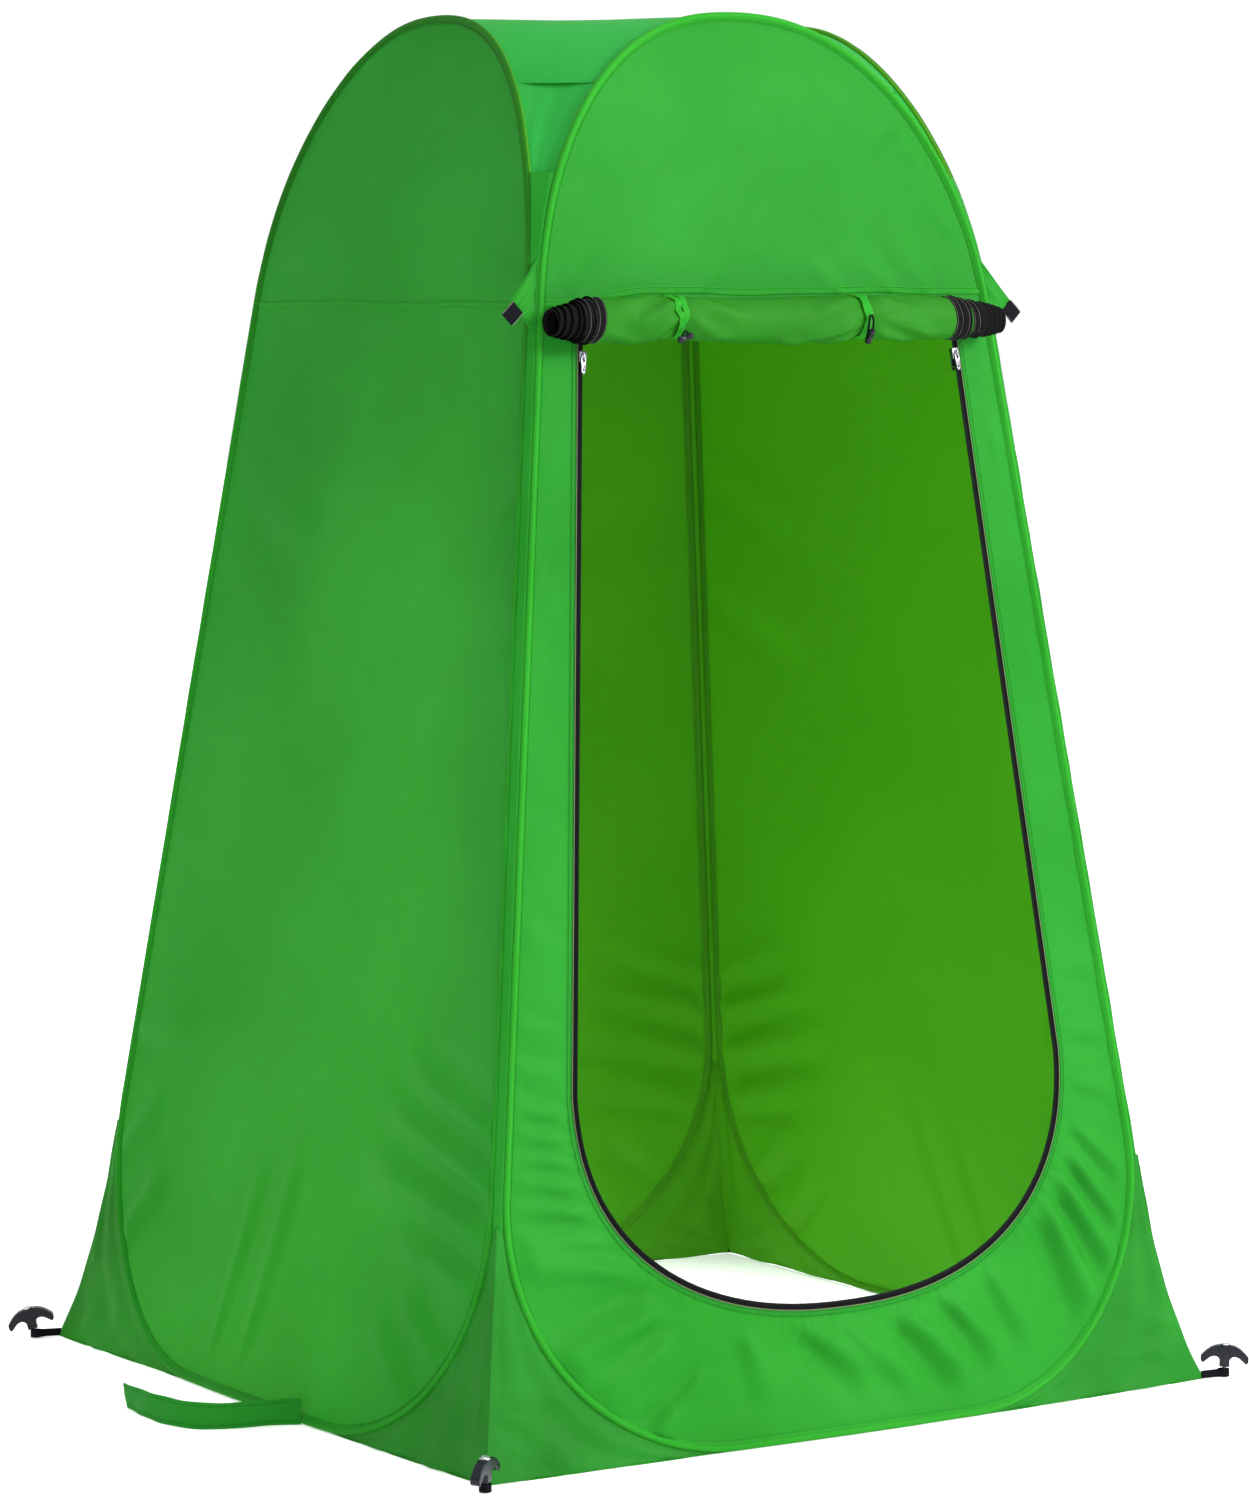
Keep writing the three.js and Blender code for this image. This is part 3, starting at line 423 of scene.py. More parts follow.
def moulded_material(name, colour, rough, scuff):
    """Glossy moulded plastic with faint scuffs."""
    material = bpy.data.materials.new(name)
    material.use_nodes = True
    add = node_maker(material)
    place = add("ShaderNodeTexCoord")
    grain = add("ShaderNodeTexNoise", {"Vector": place.outputs["Object"], "Scale": 650.0, "Detail": 3.0})
    marks = add("ShaderNodeTexNoise", {"Vector": place.outputs["Object"], "Scale": 90.0, "Detail": 6.0})
    tint = ramp_between(add, marks.outputs["Fac"], colour, scuff, 0.45, 0.9)
    gloss = add("ShaderNodeMapRange", {"Value": marks.outputs["Fac"], "From Min": 0.35,
                                       "From Max": 0.75, "To Min": rough, "To Max": rough + 0.22})
    skin = add("ShaderNodeBump", {"Height": grain.outputs["Fac"], "Strength": 0.15, "Distance": 0.0002})
    face = add("ShaderNodeBsdfPrincipled",
               {"Base Color": tint, "Roughness": gloss.outputs[0], "Specular IOR Level": 0.25,
                "Normal": skin.outputs["Normal"]})
    add("ShaderNodeOutputMaterial", {"Surface": face.outputs[0]})
    return material


def metal_material(name, colour, rough, stretch=(1.0, 1.0, 1.0), stain=(0.35, 0.35, 0.36)):
    """Plated or drawn steel with fine marks."""
    material = bpy.data.materials.new(name)
    material.use_nodes = True
    add = node_maker(material)
    place = add("ShaderNodeTexCoord")
    drawn = add("ShaderNodeMapping", {"Vector": place.outputs["Object"], "Scale": stretch})
    lines = add("ShaderNodeTexNoise", {"Vector": drawn.outputs[0], "Scale": 1400.0, "Detail": 3.0})
    spots = add("ShaderNodeTexNoise", {"Vector": place.outputs["Object"], "Scale": 220.0, "Detail": 4.0})
    tint = ramp_between(add, spots.outputs["Fac"], stain, colour, 0.28, 0.5)
    gloss = add("ShaderNodeMapRange", {"Value": lines.outputs["Fac"], "To Min": rough - 0.08,
                                       "To Max": rough + 0.14})
    marks = add("ShaderNodeBump", {"Height": lines.outputs["Fac"], "Strength": 0.12, "Distance": 0.0001})
    face = add("ShaderNodeBsdfPrincipled",
               {"Base Color": tint, "Metallic": 1.0, "Roughness": gloss.outputs[0],
                "Normal": marks.outputs["Normal"]})
    add("ShaderNodeOutputMaterial", {"Surface": face.outputs[0]})
    return material


TAFFETA = cloth_material("green taffeta", (0.019, 0.252, 0.023), (0.012, 0.208, 0.014),
                         (0.16, 0.68, 0.06), 0.32)
LINING = cloth_material("coated inner face", (0.086, 0.325, 0.015), (0.068, 0.285, 0.012),
                        (0.42, 0.80, 0.07), 0.40, rough=0.62)
# Painted light: the roof taffeta is a brighter, bluer copy of the wall taffeta, standing for the light and
# sheen on the upward-facing roof and gussets
ROOF_CLOTH = cloth_material("roof taffeta", (0.026, 0.350, 0.058), (0.020, 0.310, 0.046),
                            (0.20, 0.78, 0.08), 0.34)
# Partly painted shade: the skirt taffeta is a darker copy of the wall taffeta, standing for the shade at the
# foot of the corners as well as for its doubled, less translucent cloth
SKIRT_CLOTH = cloth_material("skirt taffeta", (0.018, 0.205, 0.020), (0.008, 0.125, 0.008),
                             (0.20, 0.70, 0.05), 0.20, crinkle=1.0)
ROLLED = cloth_material("rolled taffeta", (0.018, 0.175, 0.009), (0.012, 0.135, 0.006),
                        (0.20, 0.78, 0.05), 0.16, crinkle=0.9)
# Painted light and shade: the front sleeve taffeta is a lighter copy of the binding cloth, standing for its
# lit face, and the side sleeve taffeta is a darker copy, standing for the shade on the side and back sleeves
BINDING = cloth_material("front sleeve taffeta", (0.026, 0.330, 0.026), (0.018, 0.280, 0.018),
                         (0.40, 0.88, 0.14), 0.42, crinkle=0.9)
SHADED_SIDE_BINDING = cloth_material("side sleeve taffeta", (0.020, 0.300, 0.020), (0.014, 0.250, 0.014),
                              (0.40, 0.88, 0.14), 0.42, crinkle=0.9, painted_top_shade=(0.014, 0.130, 0.010))
THREAD = webbing_material("green thread", (0.013, 0.200, 0.011), (0.028, 0.320, 0.022), 0.0006)
PALE_THREAD = webbing_material("grey thread", (0.22, 0.21, 0.19), (0.40, 0.39, 0.36), 0.0006)
ZIP_TAPE = webbing_material("zip tape", (0.002, 0.002, 0.003), (0.006, 0.006, 0.007), 0.0012)
ZIP_COIL = moulded_material("zip coil", (0.002, 0.002, 0.003), 0.55, (0.006, 0.006, 0.007))
WEBBING = webbing_material("black webbing", (0.002, 0.002, 0.004), (0.008, 0.008, 0.013), 0.0016)
PIPING = webbing_material("zip edge cord", (0.12, 0.15, 0.08), (0.22, 0.25, 0.15), 0.0009)
PLASTIC = moulded_material("black hook plastic", (0.002, 0.003, 0.008), 0.22, (0.010, 0.012, 0.02))
CHROME = metal_material("bright plating", (0.20, 0.20, 0.22), 0.32, stain=(0.07, 0.07, 0.08))
NAIL_STEEL = metal_material("zinc plated nail", (0.62, 0.63, 0.65), 0.26, (1, 1, 0.05))
WIRE_STEEL = metal_material("drawn spring steel", (0.34, 0.34, 0.35), 0.34, (1, 1, 0.1))


# ---- Making pieces ---------------------------------------------------------------------------

def grid_mesh(steps, place, size=(1.0, 1.0)):
    """A grid whose points place(u, v) puts in position; its UV map is the flat cloth, in metres."""
    form = bmesh.new()
    bmesh.ops.create_grid(form, x_segments=steps[0], y_segments=steps[1], size=0.5)
    mesh = bpy.data.meshes.new("grid")
    form.to_mesh(mesh)
    form.free()
    flat = np.empty(len(mesh.vertices) * 3)
    mesh.vertices.foreach_get("co", flat)
    flat = flat.reshape(-1, 3)[:, :2] + 0.5
    placed = np.asarray(place(flat[:, 0], flat[:, 1]))
    mesh.vertices.foreach_set("co", placed.ravel())
    corners = np.empty(len(mesh.loops), int)
    mesh.loops.foreach_get("vertex_index", corners)
    mesh.uv_layers.new(name="Cloth").data.foreach_set("uv", (flat[corners] * size).ravel())
    return mesh


def away_from_heart(middles):
    return middles - np.array(HEART)


def facing(mesh, outward):
    """Turns a sheet's faces so that most of them look along outward(face middles)."""
    count = len(mesh.polygons)
    normals, middles = np.empty(count * 3), np.empty(count * 3)
    mesh.polygons.foreach_get("normal", normals)
    mesh.polygons.foreach_get("center", middles)
    normals, middles = normals.reshape(-1, 3), middles.reshape(-1, 3)
    if (normals * outward(middles)).sum() < 0:
        mesh.flip_normals()


def finish_piece(mesh, name, materials, body="tent", nodes=(), thickness=0.0,
                 outward=None, sharp=50):
    """Closes and shades a mesh, gives it its materials and puts it on its body."""
    form = bmesh.new()
    form.from_mesh(mesh)
    bmesh.ops.remove_doubles(form, verts=form.verts, dist=2e-6)
    if outward is None:
        bmesh.ops.recalc_face_normals(form, faces=form.faces)
    form.to_mesh(mesh)
    form.free()
    mesh.update()
    if outward is not None:
        facing(mesh, outward)
    for material in materials:
        mesh.materials.append(material)
    piece = bpy.data.objects.new(name, mesh)
    bpy.context.scene.collection.objects.link(piece)
    if thickness:
        shell = piece.modifiers.new("thickness", "SOLIDIFY")
        shell.thickness = thickness
        shell.offset = -1
        shell.material_offset = len(materials) - 1
        mesh = bpy.data.meshes.new_from_object(
            piece.evaluated_get(bpy.context.evaluated_depsgraph_get()))
        piece.modifiers.clear()
        piece.data = mesh
    mesh.shade_smooth()
    mesh.set_sharp_from_angle(angle=math.radians(sharp))
    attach(piece, body)
    if nodes:
        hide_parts(*nodes)
    return piece


def joined(meshes):
    """One mesh from several."""
    form = bmesh.new()
    for mesh in meshes:
        form.from_mesh(mesh)
    whole = bpy.data.meshes.new("joined")
    form.to_mesh(whole)
    form.free()
    return whole


def path_frames(points, up):
    """Directions along a path, and the part of up that is square to it."""
    along = np.gradient(points, axis=0)
    along /= np.linalg.norm(along, axis=1)[:, None]
    up = up - (up * along).sum(1)[:, None] * along
    up /= np.linalg.norm(up, axis=1)[:, None]
    return along, up, np.cross(along, up)


def swept_mesh(points, up, section, swell=None, ends=True):
    """A closed section carried along a path; each row of section is a side and an up coordinate."""
    _, up, side = path_frames(points, up)
    count = len(points) - 1
    sides = len(section)
    loop = np.vstack([section, section[:1]])

    def place(u, v):
        i = np.rint(u * count).astype(int)
        k = np.rint(v * sides).astype(int)
        scale = 1.0 if swell is None else swell[i][:, None]
        offset = loop[k] * scale
        return points[i] + side[i] * offset[:, :1] + up[i] * offset[:, 1:]

    size = (np.linalg.norm(np.diff(points, axis=0), axis=1).sum(),
            np.linalg.norm(np.diff(loop, axis=0), axis=1).sum())
    mesh = grid_mesh((count, sides), place, size)
    form = bmesh.new()
    form.from_mesh(mesh)
    bmesh.ops.remove_doubles(form, verts=form.verts, dist=1e-6)
    if ends:
        bmesh.ops.holes_fill(form, edges=[e for e in form.edges if e.is_boundary], sides=0)
    bmesh.ops.recalc_face_normals(form, faces=form.faces)
    form.to_mesh(mesh)
    form.free()
    return mesh


def round_section(radius, sides):
    angle = np.arange(sides) * 2 * math.pi / sides
    return np.column_stack([radius * np.cos(angle), radius * np.sin(angle)])


def strap_section(width, thickness):
    """A flat band with softened edges."""
    half, thick = width / 2, thickness / 2
    points = [(-half, 0), (-half * 0.94, thick), (-half / 3, thick), (half / 3, thick),
              (half * 0.94, thick), (half, 0), (half * 0.94, -thick), (half / 3, -thick),
              (-half / 3, -thick), (-half * 0.94, -thick)]
    return np.array(points)


def stitch_mesh(points, up, pitch=0.0036, radius=0.00028, lift=0.00035):
    """A running stitch: the thread stands out between the holes and dips into the cloth at them."""
    length = float(np.linalg.norm(np.diff(points, axis=0), axis=1).sum())
    count = max(2, round(length / pitch))
    shares = np.linspace(0, 1, count * 4 + 1)
    line, upward = along_path(points, shares), along_path_like(points, up, shares)
    _, upward, _ = path_frames(line, upward)
    height = lift * np.abs(np.sin(math.pi * shares * count)) - lift * 0.35
    return swept_mesh(line + upward * height[:, None], upward, round_section(radius, 4))


def along_path_like(points, values, shares):
    """values, given at each of points, at the given shares of the path's length."""
    steps = np.linalg.norm(np.diff(points, axis=0), axis=1)
    reach = np.append(0, np.cumsum(steps)) / steps.sum()
    return np.column_stack([np.interp(shares, reach, values[:, k]) for k in range(3)])


def wall_out(wall, count):
    """The direction out of a wall, for each of count points."""
    angle = TURNS[wall]
    out = np.array([math.sin(angle), -math.cos(angle), TAPER])
    return np.tile(out / np.linalg.norm(out), (count, 1))


# ---- Walls -----------------------------------------------------------------------------------

PANEL_TUCK = SLEEVE_RADIUS * 0.5
CLOTH = 0.0007


def lower_half(share, inset):
    """Half width and height of the wall's outline below the shoulder, from foot to shoulder."""
    radius = CORNER_RADIUS - inset
    turn = 0.36
    angle = -math.pi / 2 + (SIDE_ANGLE + math.pi / 2) * np.clip(share / turn, 0, 1)
    x, h = CORNER_X + radius * np.cos(angle), CORNER_HEIGHT + radius * np.sin(angle)
    knee = CORNER_HEIGHT + radius * math.sin(SIDE_ANGLE)
    side_h = knee + (SHOULDER - knee) * np.clip((share - turn) / (1 - turn), 0, 1)
    side_x = HOOP_FOOT_HALF - TAPER * side_h - inset * SLANT
    return np.where(share <= turn, x, side_x), np.where(share <= turn, h, side_h)


def add_plain_wall(wall):
    def place(u, v):
        half, h = lower_half(v, PANEL_TUCK)
        return on_wall(wall, (2 * u - 1) * half, h)

    mesh = grid_mesh((124, 170), place, (1.0, 1.385))
    panel = finish_piece(mesh, f"{wall}_wall_cloth", [TAFFETA, LINING],
                         nodes=[f"lower_wall_{wall}"], thickness=CLOTH,
                         outward=away_from_heart)


def add_arch(wall):
    rise = ARCH_RISE - PANEL_TUCK

    def place(u, v):
        angle = v * math.pi / 2
        h = SHOULDER + rise * np.sin(angle) ** (2 / RISE_POWER)
        side = HOOP_FOOT_HALF - TAPER * h - PANEL_TUCK * SLANT
        half = side * np.clip(np.cos(angle), 0, None) ** (2 / WIDTH_POWER)
        return on_wall(wall, (2 * u - 1) * half, h)

    mesh = grid_mesh((110, 70), place, (0.67, 0.36))
    panel = finish_piece(mesh, f"{wall}_arch_cloth", [TAFFETA, LINING],
                         nodes=[f"arch_wall_{wall}"], thickness=CLOTH,
                         outward=away_from_heart)


ZIP_EDGE = 0.0062
FACING_EDGE = 0.0150


def surround_outline(count):
    """The front wall's outer edge, as many points as the door's edge, each opposite its own."""
    shares = np.linspace(0, 1, 300)
    half, h = lower_half(shares, PANEL_TUCK)
    foot = np.column_stack([np.linspace(0, half[0], 60, endpoint=False), np.full(60, h[0])])
    right = np.vstack([foot, np.column_stack([half, h])])
    inner = door_half(ZIP_EDGE, 240)
    # Pairs points by their bearing from a pole inside the doorway, so that the cloth isn't skewed
    pole = np.array([0.0, 0.52])
    low_in = np.arctan2(inner[:, 0], pole[1] - inner[:, 1])
    low_out = np.arctan2(right[:, 0], pole[1] - right[:, 1])
    reach = np.append(0, np.cumsum(np.linalg.norm(np.diff(inner, axis=0), axis=1)))
    shares = np.linspace(0, 1, count)
    at = np.interp(shares * reach[-1], reach, np.arange(len(inner)))
    inner_points = np.column_stack([np.interp(at, np.arange(len(inner)), inner[:, k]) for k in (0, 1)])
    bearing = np.interp(at, np.arange(len(inner)), low_in)
    bearing *= low_out[-1] / bearing[-1]
    outer_points = np.column_stack([np.interp(bearing, low_out, right[:, k]) for k in (0, 1)])
    return inner_points, outer_points


def add_front_wall():
    half_count = 381
    inner, outer = (both_halves(line) for line in surround_outline(half_count))
    last = len(inner) - 1

    def place(u, v):
        i = np.rint(u * last).astype(int)
        across = v[:, None] ** 1.15
        point = inner[i] * (1 - across) + outer[i] * across
        return on_wall("front", point[:, 0], point[:, 1])

    mesh = grid_mesh((last, 34), place, (DOOR_LENGTH, 0.12))
    panel = finish_piece(mesh, "front_wall_cloth", [TAFFETA, LINING], nodes=["lower_wall_front"],
                         thickness=CLOTH, outward=away_from_heart)


def door_path(out, count, lift, trim=0.0):
    """A line that runs along the door's edge on the front wall, and the direction out of it."""
    line = both_halves(door_half(out, 300))
    line = along_path(line, np.linspace(trim, 1 - trim, count))
    return on_wall("front", line[:, 0], line[:, 1], lift), wall_out("front", count)


def add_door_edge():
    """Facing with its two rows of stitches, and the thin cord at the zip's edge."""
    strips = []
    for out_from, out_to in ((ZIP_EDGE, FACING_EDGE),):
        inner = both_halves(door_half(out_from, 300))
        outer = both_halves(door_half(out_to, 300))
        inner, outer = (along_path(line, np.linspace(0, 1, 900)) for line in (inner, outer))

        def place(u, v):
            i = np.rint(u * 899).astype(int)
            point = inner[i] * (1 - v[:, None]) + outer[i] * v[:, None]
            crown = 0.0008 * np.sin(math.pi * np.clip(v, 0, 1)) ** 0.4
            return on_wall("front", point[:, 0], point[:, 1], crown)

        strips.append(grid_mesh((899, 6), place, (DOOR_LENGTH, out_to - out_from)))
    facing_piece = finish_piece(strips[0], "door_facing", [TAFFETA],
                                thickness=0.0006, outward=away_from_heart)
    rows = [stitch_mesh(*door_path(out, 1200, 0.0010, 0.002)) for out in (0.0085, 0.0130)]
    rows = finish_piece(joined(rows), "door_facing_stitches", [THREAD])
    cord = swept_mesh(*door_path(ZIP_EDGE, 900, 0.0010), round_section(0.0006, 8))
    cord = finish_piece(cord, "zip_edge_cord", [PIPING])


# ---- Hoops and their sleeves -----------------------------------------------------------------

def hoop_path(count, mouth):
    """The hoop's centre line in wall coordinates, open at the middle of its foot."""
    turn = np.linspace(-math.pi / 2, SIDE_ANGLE, 80)
    corner = np.column_stack([CORNER_X + CORNER_RADIUS * np.cos(turn),
                              CORNER_HEIGHT + CORNER_RADIUS * np.sin(turn)])
    foot_x = np.linspace(mouth / 2, CORNER_X, 40, endpoint=False)
    foot = np.column_stack([foot_x, np.full(40, SLEEVE_RADIUS)])
    angle = np.linspace(0, math.pi / 2, 200)
    h = SHOULDER + ARCH_RISE * np.sin(angle) ** (2 / RISE_POWER)
    side = HOOP_FOOT_HALF - TAPER * h
    arch_x = side * np.clip(np.cos(angle), 0, None) ** (2 / WIDTH_POWER)
    right = np.vstack([foot, corner, np.column_stack([arch_x, h])])
    loop = np.vstack([right, right[::-1][1:] * (-1, 1)])
    return along_path(loop, np.linspace(0, 1, count))


def sleeve_section():
    """A sewn tube with its flat seam edge, which lies on the wall and points into it."""
    r = SLEEVE_RADIUS * 0.85
    upper = [(r, 0.0), (r * 0.88, r * 0.50), (r * 0.50, r * 0.86), (0.0, r * 0.98),
             (-r * 0.52, r * 0.78), (-r * 0.92, r * 0.36), (-r * 1.15, r * 0.16),
             (-r * 1.50, r * 0.20), (-r * 1.64, 0.0)]
    lower = [(x, -y) for x, y in upper[-2:0:-1]]
    return np.array(upper + lower)


# A sleeve's faces that look this far into the tent show its coated side
LINED_FACING = 0.2


def add_hoop(wall):
    count = 860
    line = hoop_path(count, 0.0)
    points = on_wall(wall, line[:, 0], line[:, 1])
    rng = np.random.default_rng(7 + len(wall))
    bumps = np.interp(np.arange(count), np.arange(0, count + 1, 4), rng.normal(0, 1, count // 4 + 1))
    swell = 1 + 0.030 * np.convolve(bumps, np.ones(5) / 5, "same")
    cloth = BINDING if wall == "front" else SHADED_SIDE_BINDING
    sleeve = swept_mesh(points, wall_out(wall, count), sleeve_section(), swell, ends=False)
    sleeve = finish_piece(sleeve, f"{wall}_hoop_sleeve", [cloth], thickness=0.0005,
                          nodes=[f"hoop_sleeve_{wall}"], sharp=75)
    sleeve.data.materials.append(LINING)
    inwards = turned(np.array([[0.0, 1.0, 0.0]]), TURNS[wall])[0]
    for face in sleeve.data.polygons:
        if Vector(inwards).dot(face.normal) > LINED_FACING:
            face.material_index = 1
    row = stitch_mesh(*hoop_seam_path(wall, 0.0062, 1500))
    row = finish_piece(row, f"{wall}_hoop_seam_stitches", [THREAD])

    count = 1100
    line = hoop_path(count, 0.001)
    x, h = line[:, 0], line[:, 1]
    centre_line = turned(np.column_stack([x, -(wall_offset(h) + bow(x, h)), h]), TURNS[wall])
    wire = swept_mesh(centre_line, wall_out(wall, count), round_section(0.00175, 10))
    finish_piece(wire, f"{wall}_hoop_wire", [WIRE_STEEL], nodes=[f"hoop_{wall}"])


def hoop_seam_path(wall, inset, count):
    """A line that runs inside the hoop at the given inset, on the sleeve's seam edge."""
    line = hoop_path(count, 0.004)
    along = np.gradient(line, axis=0)
    along /= np.linalg.norm(along, axis=1)[:, None]
    inner = line + np.column_stack([-along[:, 1], along[:, 0]]) * inset
    return on_wall(wall, inner[:, 0], inner[:, 1], 0.0011), wall_out(wall, count)


# ---- Corners: skirts, seams and gussets ------------------------------------------------------

def add_skirt(corner):
    turn = CORNER_TURNS[corner]
    bearing, reach = STAKES[corner]
    angle = math.radians(bearing) - turn
    pull = np.array([math.cos(angle), math.sin(angle), 0]) * (reach - LOOP_LENGTH)
    arc = CORNER_RADIUS + SLEEVE_RADIUS * 0.8
    last = math.asin((CORNER_HEIGHT - 0.0012) / arc)
    seed = list(CORNER_TURNS).index(corner)

    def place(u, v):
        side = 2 * u - 1
        angle = last * (1 - v)
        h = CORNER_HEIGHT - arc * np.sin(angle)
        arc_x = CORNER_X + arc * np.cos(angle)
        ridge = wall_offset(h)
        share = 1 - np.abs(side)
        across = arc_x + (ridge - arc_x) * share
        low = 1 - h / CORNER_HEIGHT
        held = smooth(np.abs(side) * 5) * smooth((1 - np.abs(side)) * 6) * smooth(v * 30)
        fan = np.sin((side * 7 + 2.2 * np.sin(3.1 * low + seed)) * (1.2 + low))
        near_seam = np.exp(-(side / 0.35) ** 2)
        creases = crumple(across, 1.3 * h, seed) * (0.35 + 0.65 * near_seam) * (0.3 + 0.7 * low)
        relief = held * (0.0024 * fan * low + 0.0062 * creases)
        seam = 0.0005 * np.sin(61 * h + seed) * np.sin(23 * h)
        out = wall_offset(h) + bow(across, h) + relief + seam
        front = np.stack([-across, -out, h], -1)
        left = np.stack([-out, -across, h], -1)
        point = np.where((side > 0)[:, None], front, left)
        ridge_point = np.stack([-ridge - seam, -ridge - seam, h], -1)
        point = np.where((np.abs(side) < 1e-9)[:, None], ridge_point, point)
        flare = low ** 3.0 * share ** 1.3
        return turned(point + pull * flare[:, None], turn)

    mesh = grid_mesh((96, 84), place, (0.42, 0.36))
    skirt = finish_piece(mesh, f"{corner}_skirt", [SKIRT_CLOTH, LINING], nodes=[f"corner_skirt_{corner}"],
                         thickness=CLOTH, outward=away_from_heart)
    count = 160
    line = place(np.full(count, 0.5), np.linspace(0.01, 0.97, count))
    out = line - np.array(CENTRE)
    out[:, 2] = 0
    row = finish_piece(stitch_mesh(line + out * 0.0004, out), f"{corner}_skirt_stitches",
                       [THREAD])
    hem_u = np.linspace(0.02, 0.98, 220)
    hem = place(hem_u, np.full(220, 0.045))
    out = hem - np.array(CENTRE)
    out[:, 2] = 0
    hem = finish_piece(stitch_mesh(hem + out * 0.0008, out), f"{corner}_hem_stitches",
                       [THREAD])


def add_corner_seam(corner):
    turn = CORNER_TURNS[corner]
    top = GUSSET_FOOT + 0.004
    foot = CORNER_HEIGHT - 0.006

    def place(u, v):
        h = foot + (top - foot) * v
        near = arch_half(h) + SLEEVE_RADIUS * 0.2
        far = wall_offset(h)
        across = near + (far - near) * u
        along = far + (near - far) * u
        flush = 0.0033 * smooth(u / 0.22) * smooth((1 - u) / 0.12)
        dent = -flush * (1 + 0.12 * np.sin(60 * h) * np.sin(23 * h))
        return turned(np.stack([-across + dent, -along + dent, h], -1), turn)

    mesh = grid_mesh((16, 240), place, (0.016, top - foot))
    piece = finish_piece(mesh, f"{corner}_corner_seam", [TAFFETA, LINING],
                         thickness=CLOTH, outward=away_from_heart)


def add_gusset(corner):
    turn = CORNER_TURNS[corner]

    def place(u, v):
        h = GUSSET_FOOT + (ROOF_SEAM + 0.003 - GUSSET_FOOT) * v
        near, far = arch_half(h) - 0.001, wall_offset(h)
        across = near + (far - near) * u
        along = far + (near - far) * u
        dent = 0.004 * np.sin(math.pi * u) * (0.4 + v) + 0.0003 * np.sin(19 * u + 6 * v)
        return turned(np.stack([-across + dent, -along + dent, h], -1), turn)

    mesh = grid_mesh((36, 40), place, (0.12, 0.12))
    gusset = finish_piece(mesh, f"{corner}_roof_gusset", [ROOF_CLOTH, LINING],
                          nodes=[f"roof_gusset_{corner}"], thickness=CLOTH,
                          outward=away_from_heart)


# ---- Roof ------------------------------------------------------------------------------------

EDGE_TUCK = SLEEVE_RADIUS * 0.5
ROOF_H = np.linspace(SHOULDER, SHOULDER + ARCH_RISE, 400)
ROOF_REACH = arch_half(ROOF_H) + wall_offset(ROOF_H)


def roof_height(reach):
    return np.interp(reach, ROOF_REACH[::-1], ROOF_H[::-1])


def roof_edge():
    """Bearing and distance of the roof's edge in plan, all the way round."""
    h = SHOULDER + ARCH_RISE - (SHOULDER + ARCH_RISE - ROOF_SEAM) * np.linspace(0, 1, 40) ** 2
    octant = np.column_stack([arch_half(h), wall_offset(h) - EDGE_TUCK])
    corner = octant[-1]
    bridge = corner + (corner[::-1] - corner) * np.linspace(0, 1, 30)[1:, None]
    quadrant = np.vstack([octant, bridge, octant[::-1][1:, ::-1]])
    angle = np.arctan2(quadrant[:, 1], quadrant[:, 0])
    distance = np.hypot(quadrant[:, 0], quadrant[:, 1])
    order = np.argsort(angle)
    return angle[order], distance[order]


def add_roof():
    angles, distances = roof_edge()

    def place(u, v):
        a, b = 2 * u - 1, 2 * v - 1
        ring = np.maximum(np.abs(a), np.abs(b))
        angle = np.arctan2(b, a)
        quarter = np.mod(angle, math.pi / 2)
        radius = ring * np.interp(quarter, angles, distances)
        x, y = radius * np.cos(angle), radius * np.sin(angle)
        reach = np.abs(x) + np.abs(y) + EDGE_TUCK * ring
        soft = np.sqrt(reach ** 2 + 0.0004)
        sag = 0.004 * (1 - ring ** 2) + 0.0008 * np.sin(17 * x + 1) * np.sin(13 * y) * (1 - ring ** 4)
        z = np.where(ring < 0.97, roof_height(soft), roof_height(reach)) - sag
        return np.stack([x + CENTRE.x, y + CENTRE.y, z], -1)

    mesh = grid_mesh((120, 120), place, (0.68, 0.68))
    roof = finish_piece(mesh, "roof_cloth", [ROOF_CLOTH, LINING], nodes=["roof_panel"],
                        thickness=CLOTH,
                        outward=lambda middles: np.tile((0, 0, 1.0), (len(middles), 1)))


# ---- Seams across the walls ------------------------------------------------------------------

FRONT_WELT_RISE, FRONT_WELT_DROOP = 0.0175, 0.014


def add_shoulder_seam(wall):
    """The felled seam between a wall and its arch, with two rows of stitches."""
    rise = FRONT_WELT_RISE if wall == "front" else 0.0
    half = float(arch_half(np.array(SHOULDER + rise))) - 0.005

    def level(x, offset):
        droop = FRONT_WELT_DROOP * smooth((-x - 0.17) / 0.13) if wall == "front" else 0.0
        wander = 0.0012 * np.sin(19 * x + len(wall)) + 0.0006 * np.sin(47 * x)
        return SHOULDER + rise - droop + offset + wander

    def place(u, v):
        x = (2 * u - 1) * half
        crown = 0.0010 * np.sin(math.pi * np.clip(v, 0, 1)) ** 0.4
        return on_wall(wall, x, level(x, (v - 0.5) * 0.010), crown)

    mesh = grid_mesh((260, 8), place, (half * 2, 0.010))
    seam = finish_piece(mesh, f"{wall}_shoulder_seam", [BINDING],
                        thickness=0.0006, outward=away_from_heart)
    x = np.linspace(-half, half, 400)
    rows = [stitch_mesh(on_wall(wall, x, level(x, offset), 0.0012), wall_out(wall, 400))
            for offset in (-0.0034, 0.0034)]
    rows = finish_piece(joined(rows), f"{wall}_shoulder_stitches", [THREAD])


# ---- Zip -------------------------------------------------------------------------------------

